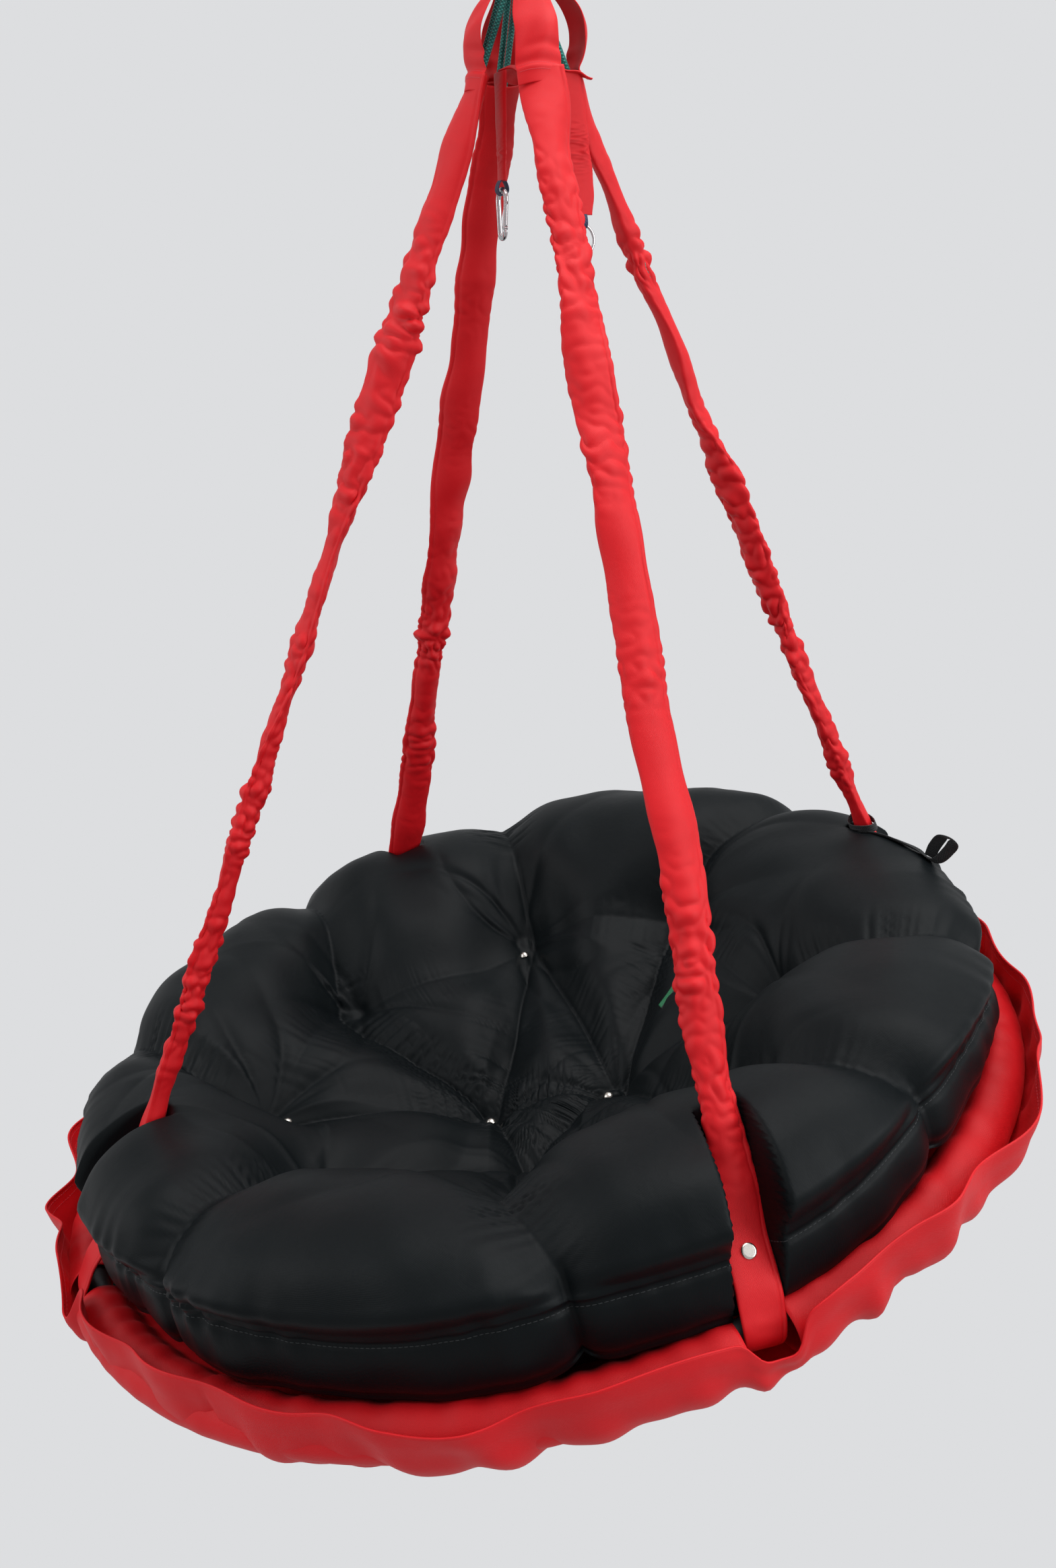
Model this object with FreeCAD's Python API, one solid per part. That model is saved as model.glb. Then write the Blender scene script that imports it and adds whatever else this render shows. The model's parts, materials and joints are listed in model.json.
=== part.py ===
import FreeCAD, Part
import math
import os

# A hanging round nest swing: a padded hoop seat on four corded ropes, a carabiner and a swivel.
# Millimetres, +Z up.  The origin is the centre of the swivel's hanging eye.
# Looking down: the right rope is on +X, the back (high) rope on +Y, left on -X, front (low) on -Y.

# --- driving dimensions -------------------------------------------------------------------------
HOOP_RADIUS = 500.0          # centre line of the seat hoop
HOOP_TUBE_RADIUS = 11.0
HOOP_WALL = 1.5
SEAT_DROP = 1164.0           # from where the ropes meet down to the hoop's centre
SEAT_TILT = 15.0             # degrees, back edge up
CORD_DIAMETER = 6.0
CORD_GAP = 0.8               # between neighbouring loops and strands of cord

EYE_HOLE_RADIUS = 6.5
EYE_THICKNESS = 10.0
EYE_OUTER_RADIUS = 14.0
SWIVEL_BODY_RADIUS = 15.0
SWIVEL_BRIDGE = 8.0          # solid metal between the eye and the window
SWIVEL_WINDOW_HEIGHT = 20.0
SWIVEL_WINDOW_HALF_WIDTH = 11.0
SWIVEL_PLATE = 6.0           # bottom plate the shank turns in
SHANK_RADIUS = 6.0
BEARING_OUTER_RADIUS = 9.5
BEARING_HEIGHT = 5.0
NUT_ACROSS_FLATS = 18.0
NUT_HEIGHT = 8.0
SHANK_STICK_OUT = 1.5        # shank end above the nut
COLLAR_RADIUS = 9.0
COLLAR_HEIGHT = 4.0
LOWER_LUG_THICKNESS = 8.0
LOWER_LUG_RIM = 6.0          # metal round the lower eye's hole

CARABINER_LENGTH = 120.0
CARABINER_WIRE = 11.0
CARABINER_WIDE_RADIUS = 24.5   # centre line of the wide bow
CARABINER_NARROW_RADIUS = 15.0
HOOK_LENGTH = 50.0
HOOK_WIRE = 5.0
HOOK_WIDE_RADIUS = 10.0
HOOK_NARROW_RADIUS = 6.5

SLEEVE_WIDTH = 40.0
SLEEVE_THICKNESS = 17.5
SLEEVE_WALL = 1.5
SLEEVE_TOP = 130.0           # below the ropes' meeting point
SLEEVE_END = 80.0            # sleeve tube stops this far above the hoop
SLEEVE_LIP = 10.0            # the tail overlaps the sleeve's end by this much
TAIL_WIDTH = 38.0
TAIL_STRAIGHT = 30.0         # the tail stands upright beside the hoop up to this height
LIP_DROP = 4.0               # the tail's slope starts this far below the sleeve's end
TAIL_RETURN = 105.0          # how far above the hoop the tail's end reaches on the inside
SNAP_HEIGHT = 62.0           # snap above the hoop
SNAP_RADIUS = 7.5
SNAP_DOME = 2.6
SNAP_GAP = 0.1
SOCKET_HEIGHT = 92.0
SOCKET_THICKNESS = 2.0
SOCKET_HOLE_RADIUS = 2.5
KNOT_HEIGHT = 60.0
KNOT_RADIUS = 7.6
KNOT_LENGTH = 17.0
KNOT_BEND = 14.0             # the cord's last bend above the hoop
KNOT_TUCK = 4.6              # how far inside the rope's line the cord's end lies in its knot
CORD_BEND = 300.0            # radii of the cord's gentle bends
KNOT_OUT_BEND = 40.0
HOOP_BEND = 30.0

BAND_TOP = 36.0              # hub bands start this far below the meeting point
BAND_WIDTH = 40.0
BAND_BULGE = {"right": 16.0, "back": 30.0, "left": 18.0, "front": 12.0}
BAND_START = 13.0            # offset of a band's top edge from its rope's line
BAND_SEAM = 5.0              # least offset of a band's lower fold
GUSSET_HALF = 24.0
GUSSET_RIGHT = 30.0
GUSSET_BACK = 34.0
TONGUE_HALF = 5.0
GUSSET_THICKNESS = 3.0

SLING_SAG = 0.25 * HOOP_RADIUS
SLING_THICKNESS = 2.5
CASING_THICKNESS = 1.8       # fabric round the hoop
FLOUNCE_THICKNESS = 2.0
FLOUNCE_SEAM = 46.0          # its inner edge, inside the hoop's centre line
FLOUNCE_REACH = 38.0         # stands this far outside the hoop's centre line
FLOUNCE_DROP = 40.0          # hangs this far below it
FLOUNCE_HEM = 24.0           # hem above it
NOTCH_HALF_WIDTH = 30.0      # gap left in the fabric for each rope
NOTCH_DEPTH = 36.0           # how far inside the hoop's centre line it starts
HEM_NOTCH_HALF = 24.0        # the same gap in the flounce

CUSHION_RADIUS = HOOP_RADIUS + 6.0
CUSHION_EDGE_LOW = 28.0      # lower and upper edge of the boxed side, above the hoop's plane
CUSHION_EDGE_HIGH = 90.0
CUSHION_CREST = 136.0
CUSHION_CREST_RADIUS = 0.85 * HOOP_RADIUS
CUSHION_DISH_RADIUS = 0.64 * HOOP_RADIUS
CUSHION_DISH_HEIGHT = 98.0
CUSHION_CENTRE = -16.0
CUSHION_NOTCH_GAP = 4.0      # room left round each sleeve
CUSHION_NOTCH_REACH = 120.0
CUSHION_UNDER_GAP = 5.0      # between the cushion and the sling
CUSHION_FOOT_INSET = 48.0
BUTTON_RADIUS = 6.0
BUTTON_HEIGHT = 4.0
BACK_BUTTON_RADIUS = 10.0
BACK_BUTTON_THICKNESS = 2.0
BACK_BUTTON_LIFT = 7.0       # above the sling
TIE_HEIGHT = 150.0           # webbing tie above the hoop
TIE_TAB = 26.0
TIE_GAP = 1.5                # round the sleeve
LABEL_SIZE = (52.0, 16.0, 0.8)
LABEL_LEAN = -16.0           # degrees
LABEL_TURN = 92.0
LABEL_ANGLE = 88.0
LABEL_RADIUS = 0.62          # of the dish's radius
LABEL_LIFT = 14.0
TUFT_DEPTH = 34.0
TUFT_MOUTH_RADIUS = 24.0
INNER_TUFT_RADIUS = 0.168 * HOOP_RADIUS
OUTER_TUFT_RADIUS = 0.55 * HOOP_RADIUS
TUFT_CENTRE_SHIFT = 0.04 * HOOP_RADIUS     # the inner ring sits a little to the right
INNER_TUFT_ANGLES = (99.0, 211.0, 333.0)
OUTER_TUFT_ANGLES = (20.0, 66.0, 112.0, 157.0, 203.0, 248.0, 292.0, 335.0)

STRAP_WIDTH = 28.0           # short straps under the hub
STRAP_THICKNESS = 5.0
STRAP_WALL = 1.0
STRAP_TOP = 104.0            # their top edge, below the ropes' meeting point
HOOK_STRAP_X = 6.0
HOOK_STRAP_Y = -22.0
HOOK_STRAP_LENGTH = 98.0
RING_STRAP_X = 26.0
RING_STRAP_Y = 0.1 * HOOP_RADIUS
RING_STRAP_LENGTH = 129.0
STRAP_HANG = 9.0             # from a strap's end down to the wire in its webbing
WEBBING_WIDTH = 10.0
RING_WEBBING_WIDTH = 16.0
WEBBING_THICKNESS = 1.2
WEBBING_REACH = 60.0         # how far the webbing reaches up into its strap
STRAP_GAP = 1.5              # under the gusset, so that a strap can swing
RING_RADIUS = 16.0           # centre line of the loose ring
RING_WIRE = 3.0

RUNNING_GAP = 0.05           # radial, shafts and pins
CLEARANCE = 0.3              # between curved faces on different bodies
SIDE_GAP = 0.3               # gate tongues in their slots

# --- places that follow from them ---------------------------------------------------------------
EYE_BOTTOM = -EYE_OUTER_RADIUS
WINDOW_TOP = EYE_BOTTOM - SWIVEL_BRIDGE
PLATE_TOP = WINDOW_TOP - SWIVEL_WINDOW_HEIGHT
PLATE_BOTTOM = PLATE_TOP - SWIVEL_PLATE
COLLAR_TOP = PLATE_BOTTOM - CLEARANCE
LOWER_HOLE_RADIUS = CARABINER_WIRE / 2 + 1.5
LOWER_LUG_RADIUS = LOWER_HOLE_RADIUS + LOWER_LUG_RIM
CARABINER_TOP_Z = COLLAR_TOP - COLLAR_HEIGHT - LOWER_LUG_RADIUS
CARABINER_SPAN = CARABINER_LENGTH - CARABINER_WIRE - CARABINER_WIDE_RADIUS - CARABINER_NARROW_RADIUS
HOOK_SPAN = HOOK_LENGTH - HOOK_WIRE - HOOK_WIDE_RADIUS - HOOK_NARROW_RADIUS
APEX_Z = CARABINER_TOP_Z - CARABINER_NARROW_RADIUS - CARABINER_SPAN
SEAT_Z = APEX_Z - SEAT_DROP
CORD_RADIUS = CORD_DIAMETER / 2
STRAND_OFFSET = (CORD_DIAMETER + CORD_GAP) / 2
BOW_TURN = CARABINER_WIRE / 2 + CLEARANCE + CORD_RADIUS     # cord centre round the carabiner wire
HOOP_TURN = HOOP_TUBE_RADIUS / math.cos(math.radians(SEAT_TILT)) + CLEARANCE + CORD_RADIUS
TAIL_TURN = HOOP_TURN + CORD_RADIUS + 1.5
SIDES = {"right": 0.0, "back": 90.0, "left": 180.0, "front": 270.0}
BOW_ORDER = {"back": 1.55, "right": 0.6, "left": -0.6, "front": -1.55}   # in pitches of the cord
NEAR_SIDE = {"back": 1, "right": 1, "left": -1, "front": 1}      # side of the wire a cord starts on
STRAND_SIDE = {"back": 1, "right": 1, "left": -1, "front": -1}
SHORTEST_RUN = 1e-4

V = FreeCAD.Vector
X_AXIS = V(1, 0, 0)
Y_AXIS = V(0, 1, 0)
Z_AXIS = V(0, 0, 1)
APEX = V(0, 0, APEX_Z)
SEAT = FreeCAD.Placement(V(0, 0, SEAT_Z), FreeCAD.Rotation(X_AXIS, SEAT_TILT))


def write(name, shape):
    shape.exportStep("parts/" + name + ".step")


def fuse(shapes):
    return shapes[0].multiFuse(shapes[1:]).removeSplitter()


def cylinder(radius, start, end):
    along = end - start
    return Part.makeCylinder(radius, along.Length, start, along)


def box(low, high):
    size = high - low
    return Part.makeBox(size.x, size.y, size.z, low)


def on_seat(shape):
    """The shape, drawn about the hoop's centre in the hoop's plane, put in its hanging place."""
    placed = shape.copy()
    placed.Placement = SEAT.multiply(placed.Placement)
    return placed


def revolved(edges):
    """A full turn about local Z of a closed profile drawn in the XZ plane."""
    return Part.Face(Part.Wire(edges)).revolve(V(0, 0, 0), Z_AXIS, 360)


def line(a, b):
    return Part.makeLine(a, b)


def arc(a, through, b):
    return Part.Arc(a, through, b).toShape()


def band(points, thickness_dir, thickness, width_dir, width):
    """A flat strip that follows the points, thick along one direction and wide along another."""
    outer = [p + thickness_dir * thickness for p in reversed(points)]
    outline = points + outer + [points[0]]
    face = Part.Face(Part.makePolygon([p - width_dir * (width / 2) for p in outline]))
    return face.extrude(width_dir * width)


def rounded_route(points, radii):
    """Straight runs joined by tangent arcs: points of the corners, radius of each inner corner."""
    edges = []
    start = points[0]
    for index, radius in enumerate(radii):
        corner = points[index + 1]
        arrive = (corner - points[index]).normalize()
        leave = (points[index + 2] - corner).normalize()
        turn = arrive.getAngle(leave)
        reach = radius * math.tan(turn / 2)
        first = corner - arrive * reach
        last = corner + leave * reach
        inward = (leave - arrive).normalize()
        middle = corner + inward * (radius / math.cos(turn / 2) - radius)
        if (first - start).Length > SHORTEST_RUN:
            edges.append(line(start, first))
        else:
            first = start
        edges.append(arc(first, middle, last))
        start = last
    edges.append(line(start, points[-1]))
    return Part.Wire(edges)


def tube_along(wire, radius):
    start = wire.Edges[0].Vertexes[0].Point
    direction = wire.Edges[0].tangentAt(wire.Edges[0].FirstParameter)
    section = Part.Wire([Part.makeCircle(radius, start, direction)])
    return wire.makePipeShell([section], True, True)


class Rope:
    """The straight line of one rope from the meeting point to the hoop, with its own directions."""

    def __init__(self, side):
        angle = math.radians(SIDES[side])
        radial = V(math.cos(angle), math.sin(angle), 0)
        tangent = V(-math.sin(angle), math.cos(angle), 0)
        self.side = side
        self.end = SEAT.multVec(radial * HOOP_RADIUS)
        self.length = (self.end - APEX).Length
        self.down = (self.end - APEX).normalize()
        tangent = SEAT.Rotation.multVec(tangent)
        self.across = (tangent - self.down * tangent.dot(self.down)).normalize()
        self.outward = self.across.cross(self.down).normalize()
        if self.outward.dot(radial) < 0:
            self.outward = self.outward * -1

    def at(self, along, across=0.0, outward=0.0):
        return APEX + self.down * along + self.across * across + self.outward * outward

    def above_hoop(self, height, across=0.0, outward=0.0):
        return self.at(self.length - height, across, outward)


ROPES = [Rope(side) for side in SIDES]


# --- swivel -------------------------------------------------------------------------------------
def swivel_upper_eye():
    half = EYE_THICKNESS / 2
    lug = cylinder(EYE_OUTER_RADIUS, V(0, -half, 0), V(0, half, 0))
    neck = box(V(-EYE_OUTER_RADIUS, -half, WINDOW_TOP + 1), V(EYE_OUTER_RADIUS, half, 0))
    body = cylinder(SWIVEL_BODY_RADIUS, V(0, 0, PLATE_BOTTOM), V(0, 0, EYE_BOTTOM))
    half_window = SWIVEL_WINDOW_HALF_WIDTH
    window = box(V(-half_window, -SWIVEL_BODY_RADIUS, PLATE_TOP),
                 V(half_window, SWIVEL_BODY_RADIUS, WINDOW_TOP))
    eye_hole = cylinder(EYE_HOLE_RADIUS, V(0, -half - 1, 0), V(0, half + 1, 0))
    shank_hole = cylinder(SHANK_RADIUS + RUNNING_GAP, V(0, 0, PLATE_BOTTOM - 1), V(0, 0, PLATE_TOP + 1))
    return fuse([lug, neck, body]).cut(window).cut(eye_hole).cut(shank_hole)


def swivel_bearing():
    top = V(0, 0, PLATE_TOP + BEARING_HEIGHT)
    ring = cylinder(BEARING_OUTER_RADIUS, V(0, 0, PLATE_TOP), top)
    return ring.cut(cylinder(SHANK_RADIUS + RUNNING_GAP, V(0, 0, PLATE_TOP), top))


def nut_bottom():
    return PLATE_TOP + BEARING_HEIGHT + SIDE_GAP


def swivel_nut():
    corner_radius = NUT_ACROSS_FLATS / 2 / math.cos(math.pi / 6)
    corners = []
    for step in range(7):
        angle = step * math.pi / 3
        corners.append(V(corner_radius * math.cos(angle), corner_radius * math.sin(angle), nut_bottom()))
    hexagon = Part.Face(Part.makePolygon(corners)).extrude(Z_AXIS * NUT_HEIGHT)
    hole = cylinder(SHANK_RADIUS, V(0, 0, nut_bottom()), V(0, 0, nut_bottom() + NUT_HEIGHT))
    return hexagon.cut(hole)


def swivel_lower_eye():
    half = LOWER_LUG_THICKNESS / 2
    centre = V(0, 0, CARABINER_TOP_Z)
    shank_end = nut_bottom() + NUT_HEIGHT + SHANK_STICK_OUT
    shank = cylinder(SHANK_RADIUS, V(0, 0, COLLAR_TOP - 1), V(0, 0, shank_end))
    collar = cylinder(COLLAR_RADIUS, V(0, 0, COLLAR_TOP - COLLAR_HEIGHT), V(0, 0, COLLAR_TOP))
    lug = cylinder(LOWER_LUG_RADIUS, centre - Y_AXIS * half, centre + Y_AXIS * half)
    root = box(V(-COLLAR_RADIUS + 1, -half, CARABINER_TOP_Z), V(COLLAR_RADIUS - 1, half, COLLAR_TOP - 1))
    hole = cylinder(LOWER_HOLE_RADIUS, centre - Y_AXIS * (half + 1), centre + Y_AXIS * (half + 1))
    return fuse([shank, collar, lug, root]).cut(hole)


# --- carabiner and small hook -------------------------------------------------------------------
class SnapHook:
    """A wire snap hook drawn in its own XZ plane: wide bow about the origin, narrow bow above it."""

    def __init__(self, wire, wide, narrow, span):
        self.radius = wire / 2
        self.wide = wide
        self.narrow = narrow
        self.span = span
        self.lean = math.asin((wide - narrow) / span)
        self.tongue = wire * 0.34
        self.pin_radius = wire * 0.13
        self.gate_radius = self.radius * 0.9
        self.low = V(-wide * math.cos(self.lean), 0, wide * math.sin(self.lean))
        self.high = V(-narrow * math.cos(self.lean), 0, span + narrow * math.sin(self.lean))
        self.up = (self.high - self.low).normalize()
        self.pin = self.high - self.up * (self.radius * 1.6)

    def bow_point(self, radius, height, angle):
        return V(radius * math.cos(angle), 0, height + radius * math.sin(angle))

    def frame(self):
        right = self.lean
        left = math.pi - self.lean
        low_right = self.bow_point(self.wide, 0, right)
        high_right = self.bow_point(self.narrow, self.span, right)
        path = Part.Wire([
            arc(self.low, V(0, 0, -self.wide), low_right),
            line(low_right, high_right),
            arc(high_right, V(0, 0, self.span + self.narrow), self.bow_point(self.narrow, self.span, left)),
        ])
        wire = tube_along(path, self.radius)
        nose = self.plate(self.low - self.up * 0.5, self.low + self.up * self.radius, self.tongue)
        hinge = self.plate(self.high + self.up * 0.5, self.pin, self.tongue)
        knuckle = self.across(self.pin, self.radius * 0.75, self.tongue)
        hole = self.across(self.pin, self.pin_radius + RUNNING_GAP, self.radius * 3)
        return fuse([wire, nose, hinge, knuckle]).cut(hole)

    def across(self, centre, radius, width):
        """A disc or pin on an axis square to the hook's plane."""
        return cylinder(radius, centre - Y_AXIS * (width / 2), centre + Y_AXIS * (width / 2))

    def plate(self, start, end, thickness):
        side = self.up.cross(Y_AXIS).normalize()
        half = self.radius * 0.6
        corners = [start - side * half, end - side * half, end + side * half, start + side * half]
        corners = [c - Y_AXIS * (thickness / 2) for c in corners + corners[:1]]
        return Part.Face(Part.makePolygon(corners)).extrude(Y_AXIS * thickness)

    def gate(self):
        foot = self.low + self.up * (self.radius * 0.12)
        rod = cylinder(self.gate_radius, foot, self.pin)
        head = self.across(self.pin, self.gate_radius, self.gate_radius * 1.7)
        slot = self.tongue + 2 * SIDE_GAP
        deep = self.radius * 1.25
        nose_slot = self.wide_plate(self.low - self.up, self.low + self.up * deep, slot)
        hinge_slot = self.wide_plate(self.pin - self.up * (self.radius * 0.95), self.high, slot)
        hole = self.across(self.pin, self.pin_radius, self.radius * 3)
        return fuse([rod, head]).cut(nose_slot).cut(hinge_slot).cut(hole)

    def wide_plate(self, start, end, thickness):
        side = self.up.cross(Y_AXIS).normalize() * (self.radius * 2)
        corners = [start - side, end - side, end + side, start + side]
        corners = [c - Y_AXIS * (thickness / 2) for c in corners + corners[:1]]
        return Part.Face(Part.makePolygon(corners)).extrude(Y_AXIS * thickness)

    def gate_pin(self):
        return self.across(self.pin, self.pin_radius, self.gate_radius * 1.7)


def placed_carabiner(shape):
    """The carabiner's plane is YZ, its wide bow about the ropes' meeting point, gate to the front."""
    placed = shape.copy()
    placed.Placement = FreeCAD.Placement(APEX, FreeCAD.Rotation(Z_AXIS, 90)).multiply(placed.Placement)
    return placed


def hook_hang():
    """Centre of the hook's wire where it hangs in its webbing loop."""
    return V(HOOK_STRAP_X, HOOK_STRAP_Y, APEX_Z - STRAP_TOP - HOOK_STRAP_LENGTH - STRAP_HANG)


def placed_hook(shape):
    """The small hook hangs with its wide bow up in the webbing loop, its plane along X."""
    centre = hook_hang() - Z_AXIS * HOOK_WIDE_RADIUS
    placed = shape.copy()
    placed.Placement = FreeCAD.Placement(centre, FreeCAD.Rotation(Y_AXIS, 180)).multiply(placed.Placement)
    return placed


# --- ropes, sleeves and hub ---------------------------------------------------------------------
def bow_angle(side):
    """Turn round the wide bow that keeps neighbouring loops clear on its inner side."""
    return BOW_ORDER[side] * (CORD_DIAMETER + CORD_GAP) / (CARABINER_WIDE_RADIUS - BOW_TURN)


def wrap_corner(top, side, far, radius):
    """Corner of the straight runs that touch a wire: along its top, and on down to a far point."""
    corner = top + side * radius
    for _ in range(4):
        turn = (corner - far).getAngle(side * -1)
        corner = top + side * (radius * math.tan(turn / 2))
    return corner


def cord_route(rope):
    """One cord: knot, up, over the carabiner's wire, down, round the hoop and back to the knot."""
    angle = bow_angle(rope.side)
    out = V(0, math.sin(angle), -math.cos(angle))
    over = APEX + out * (CARABINER_WIDE_RADIUS - BOW_TURN)
    # The strand that crosses under the wire keeps to its own side of the opposite rope.
    across = STRAND_OFFSET * STRAND_SIDE[rope.side]
    first_top = rope.at(SLEEVE_TOP - 6, -across)
    second_top = rope.at(SLEEVE_TOP - 6, across)
    near = X_AXIS * NEAR_SIDE[rope.side]
    route = [
        rope.above_hoop(KNOT_HEIGHT, -across),
        first_top,
        wrap_corner(over, near, first_top, BOW_TURN),
        wrap_corner(over, near * -1, second_top, BOW_TURN),
        second_top,
        rope.above_hoop(KNOT_HEIGHT + 4, across),
        rope.above_hoop(KNOT_BEND, 0, HOOP_TURN),
        rope.above_hoop(-HOOP_TURN, 0, HOOP_TURN),
        rope.above_hoop(-HOOP_TURN, 0, -HOOP_TURN),
        rope.above_hoop(KNOT_BEND, 0, -HOOP_TURN),
        rope.above_hoop(KNOT_HEIGHT - 5, -across / 2, -KNOT_TUCK),
    ]
    radii = [CORD_BEND, BOW_TURN, BOW_TURN, CORD_BEND, KNOT_OUT_BEND, HOOP_BEND,
             HOOP_TURN, HOOP_TURN, HOOP_BEND]
    return rounded_route(route, radii), radii


def cord(rope):
    wire, radii = cord_route(rope)
    tube = tube_along(wire, CORD_RADIUS)
    expected = math.pi * CORD_RADIUS ** 2 * wire.Length
    print("rope", rope.side, "length", round(wire.Length), "radii", [round(r, 1) for r in radii],
          "volume ratio", round(tube.Volume / expected, 4), "valid", tube.isValid())
    return tube


def knot(rope):
    half = KNOT_LENGTH / 2
    lower = rope.above_hoop(KNOT_HEIGHT - half)
    upper = rope.above_hoop(KNOT_HEIGHT + half)
    barrel = cylinder(KNOT_RADIUS, lower, upper)
    return barrel.makeFillet(3.0, [e for e in barrel.Edges if e.Curve.TypeId == "Part::GeomCircle"])


def stadium(rope, along, width, thickness):
    """The sleeve's flat round-sided outline, square to the rope."""
    half = (width - thickness) / 2
    side = thickness / 2
    a = rope.at(along, -half, side)
    b = rope.at(along, half, side)
    c = rope.at(along, half, -side)
    d = rope.at(along, -half, -side)
    right_end = rope.at(along, half + side, 0)
    left_end = rope.at(along, -half - side, 0)
    return Part.Wire([line(a, b), arc(b, right_end, c), line(c, d), arc(d, left_end, a)])


def sleeve(rope):
    """A flat fabric tube round the cords, whose tail goes round the hoop and up inside."""
    run = rope.length - SLEEVE_END - SLEEVE_TOP
    outer = Part.Face(stadium(rope, SLEEVE_TOP, SLEEVE_WIDTH, SLEEVE_THICKNESS))
    hollow = Part.Face(stadium(rope, SLEEVE_TOP, SLEEVE_WIDTH - 2 * SLEEVE_WALL,
                               SLEEVE_THICKNESS - 2 * SLEEVE_WALL))
    tube = outer.extrude(rope.down * run).cut(hollow.extrude(rope.down * run))
    face = SLEEVE_THICKNESS / 2
    start = rope.across * (-TAIL_WIDTH / 2)
    lift = face + CLEARANCE

    def p(height, outward):
        return rope.above_hoop(height, 0, outward) + start

    wall = SLEEVE_WALL
    turn = TAIL_TURN
    upright = TAIL_STRAIGHT
    high = SLEEVE_END + SLEEVE_LIP
    low = SLEEVE_END - LIP_DROP
    outline = Part.Wire([
        line(p(high, face - wall), p(low, face - wall)),
        line(p(low, face - wall), p(upright, turn)),
        line(p(upright, turn), p(0, turn)),
        arc(p(0, turn), p(-turn, 0), p(0, -turn)),
        line(p(0, -turn), p(upright, -turn)),
        line(p(upright, -turn), p(SLEEVE_END, -lift)),
        line(p(SLEEVE_END, -lift), p(TAIL_RETURN, -lift)),
        line(p(TAIL_RETURN, -lift), p(TAIL_RETURN, -lift - wall)),
        line(p(TAIL_RETURN, -lift - wall), p(SLEEVE_END, -lift - wall)),
        line(p(SLEEVE_END, -lift - wall), p(upright, -turn - wall)),
        line(p(upright, -turn - wall), p(0, -turn - wall)),
        arc(p(0, -turn - wall), p(-turn - wall, 0), p(0, turn + wall)),
        line(p(0, turn + wall), p(upright, turn + wall)),
        line(p(upright, turn + wall), p(low, face)),
        line(p(low, face), p(high, face)),
        line(p(high, face), p(high, face - wall)),
    ])
    tail = Part.Face(outline).extrude(rope.across * TAIL_WIDTH)
    return fuse([tube, tail])


def tail_face(height):
    """Outward distance of the tail's outer face at a height above the hoop, on its sloping run."""
    face = SLEEVE_THICKNESS / 2
    share = (height - TAIL_STRAIGHT) / (SLEEVE_END - LIP_DROP - TAIL_STRAIGHT)
    return TAIL_TURN + SLEEVE_WALL + share * (face - TAIL_TURN - SLEEVE_WALL)


def snap_cap(rope):
    """A domed press-stud cap lying on the tail's outer face."""
    run = SLEEVE_END - LIP_DROP - TAIL_STRAIGHT
    slope = (tail_face(TAIL_STRAIGHT) - tail_face(TAIL_STRAIGHT + run)) / run
    normal = (rope.outward - rope.down * slope).normalize()
    seat = rope.above_hoop(SNAP_HEIGHT, 0, tail_face(SNAP_HEIGHT)) + normal * SNAP_GAP
    disc = cylinder(SNAP_RADIUS, seat, seat + normal * SNAP_DOME)
    rim = [e for e in disc.Edges if abs((e.CenterOfMass - seat).dot(normal) - SNAP_DOME) < 0.01]
    return disc.makeFillet(SNAP_DOME - 0.4, rim)


def snap_socket(rope):
    """The press stud's socket ring on the tail's inner face."""
    face = SLEEVE_THICKNESS / 2 + CLEARANCE + SLEEVE_WALL + SNAP_GAP
    seat = rope.above_hoop(SOCKET_HEIGHT, 0, -face)
    ring = cylinder(SNAP_RADIUS - 1, seat, seat - rope.outward * SOCKET_THICKNESS)
    hole = cylinder(SOCKET_HOLE_RADIUS, seat - rope.outward * 0.8, seat - rope.outward * (SOCKET_THICKNESS + 1))
    return ring.cut(hole)


def hub_band(rope):
    """A fabric band that bulges out from the top of the hub down to its sleeve."""
    bulge = max(BAND_BULGE[rope.side], BAND_START)
    stations = (
        (BAND_TOP, BAND_START),
        (BAND_TOP + 16, bulge),
        (BAND_TOP + 52, bulge),
        (SLEEVE_TOP - 18, BAND_BULGE[rope.side] / 2 + BAND_SEAM),
        (SLEEVE_TOP - 1, SLEEVE_THICKNESS / 2 - SLEEVE_WALL),
    )
    points = [rope.at(along, 0, outward) for along, outward in stations]
    return band(points, rope.outward, SLEEVE_WALL, rope.across, BAND_WIDTH - 4)


def hub_gusset():
    """A fabric web inside the hub, between the ropes, that both short straps are sewn to."""
    top = APEX_Z - STRAP_TOP + GUSSET_THICKNESS
    bottom = APEX_Z - STRAP_TOP
    middle = box(V(-GUSSET_HALF, -GUSSET_HALF, bottom), V(GUSSET_RIGHT, GUSSET_BACK, top))
    reach = RING_STRAP_Y + STRAP_WIDTH / 2
    tongue = box(V(RING_STRAP_X - TONGUE_HALF - 1, GUSSET_HALF, bottom),
                 V(RING_STRAP_X + TONGUE_HALF - 1, reach, top))
    return fuse([middle, tongue])


# --- seat ---------------------------------------------------------------------------------------
def hoop():
    outer = Part.makeTorus(HOOP_RADIUS, HOOP_TUBE_RADIUS)
    return on_seat(outer.cut(Part.makeTorus(HOOP_RADIUS, HOOP_TUBE_RADIUS - HOOP_WALL)))


def rope_notches(inner, outer, low, high, half_width):
    """Blocks, in the hoop's plane, that leave a gap at each rope."""
    blocks = []
    for side in SIDES.values():
        block = box(V(inner, -half_width, low), V(outer, half_width, high))
        block.rotate(V(0, 0, 0), Z_AXIS, side)
        blocks.append(block)
    return blocks


def sling_height(radius):
    """Top face of the hanging sling above the hoop's plane."""
    edge = HOOP_RADIUS - HOOP_TUBE_RADIUS
    return -SLING_SAG * (1 - (radius / edge) ** 2)


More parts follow.
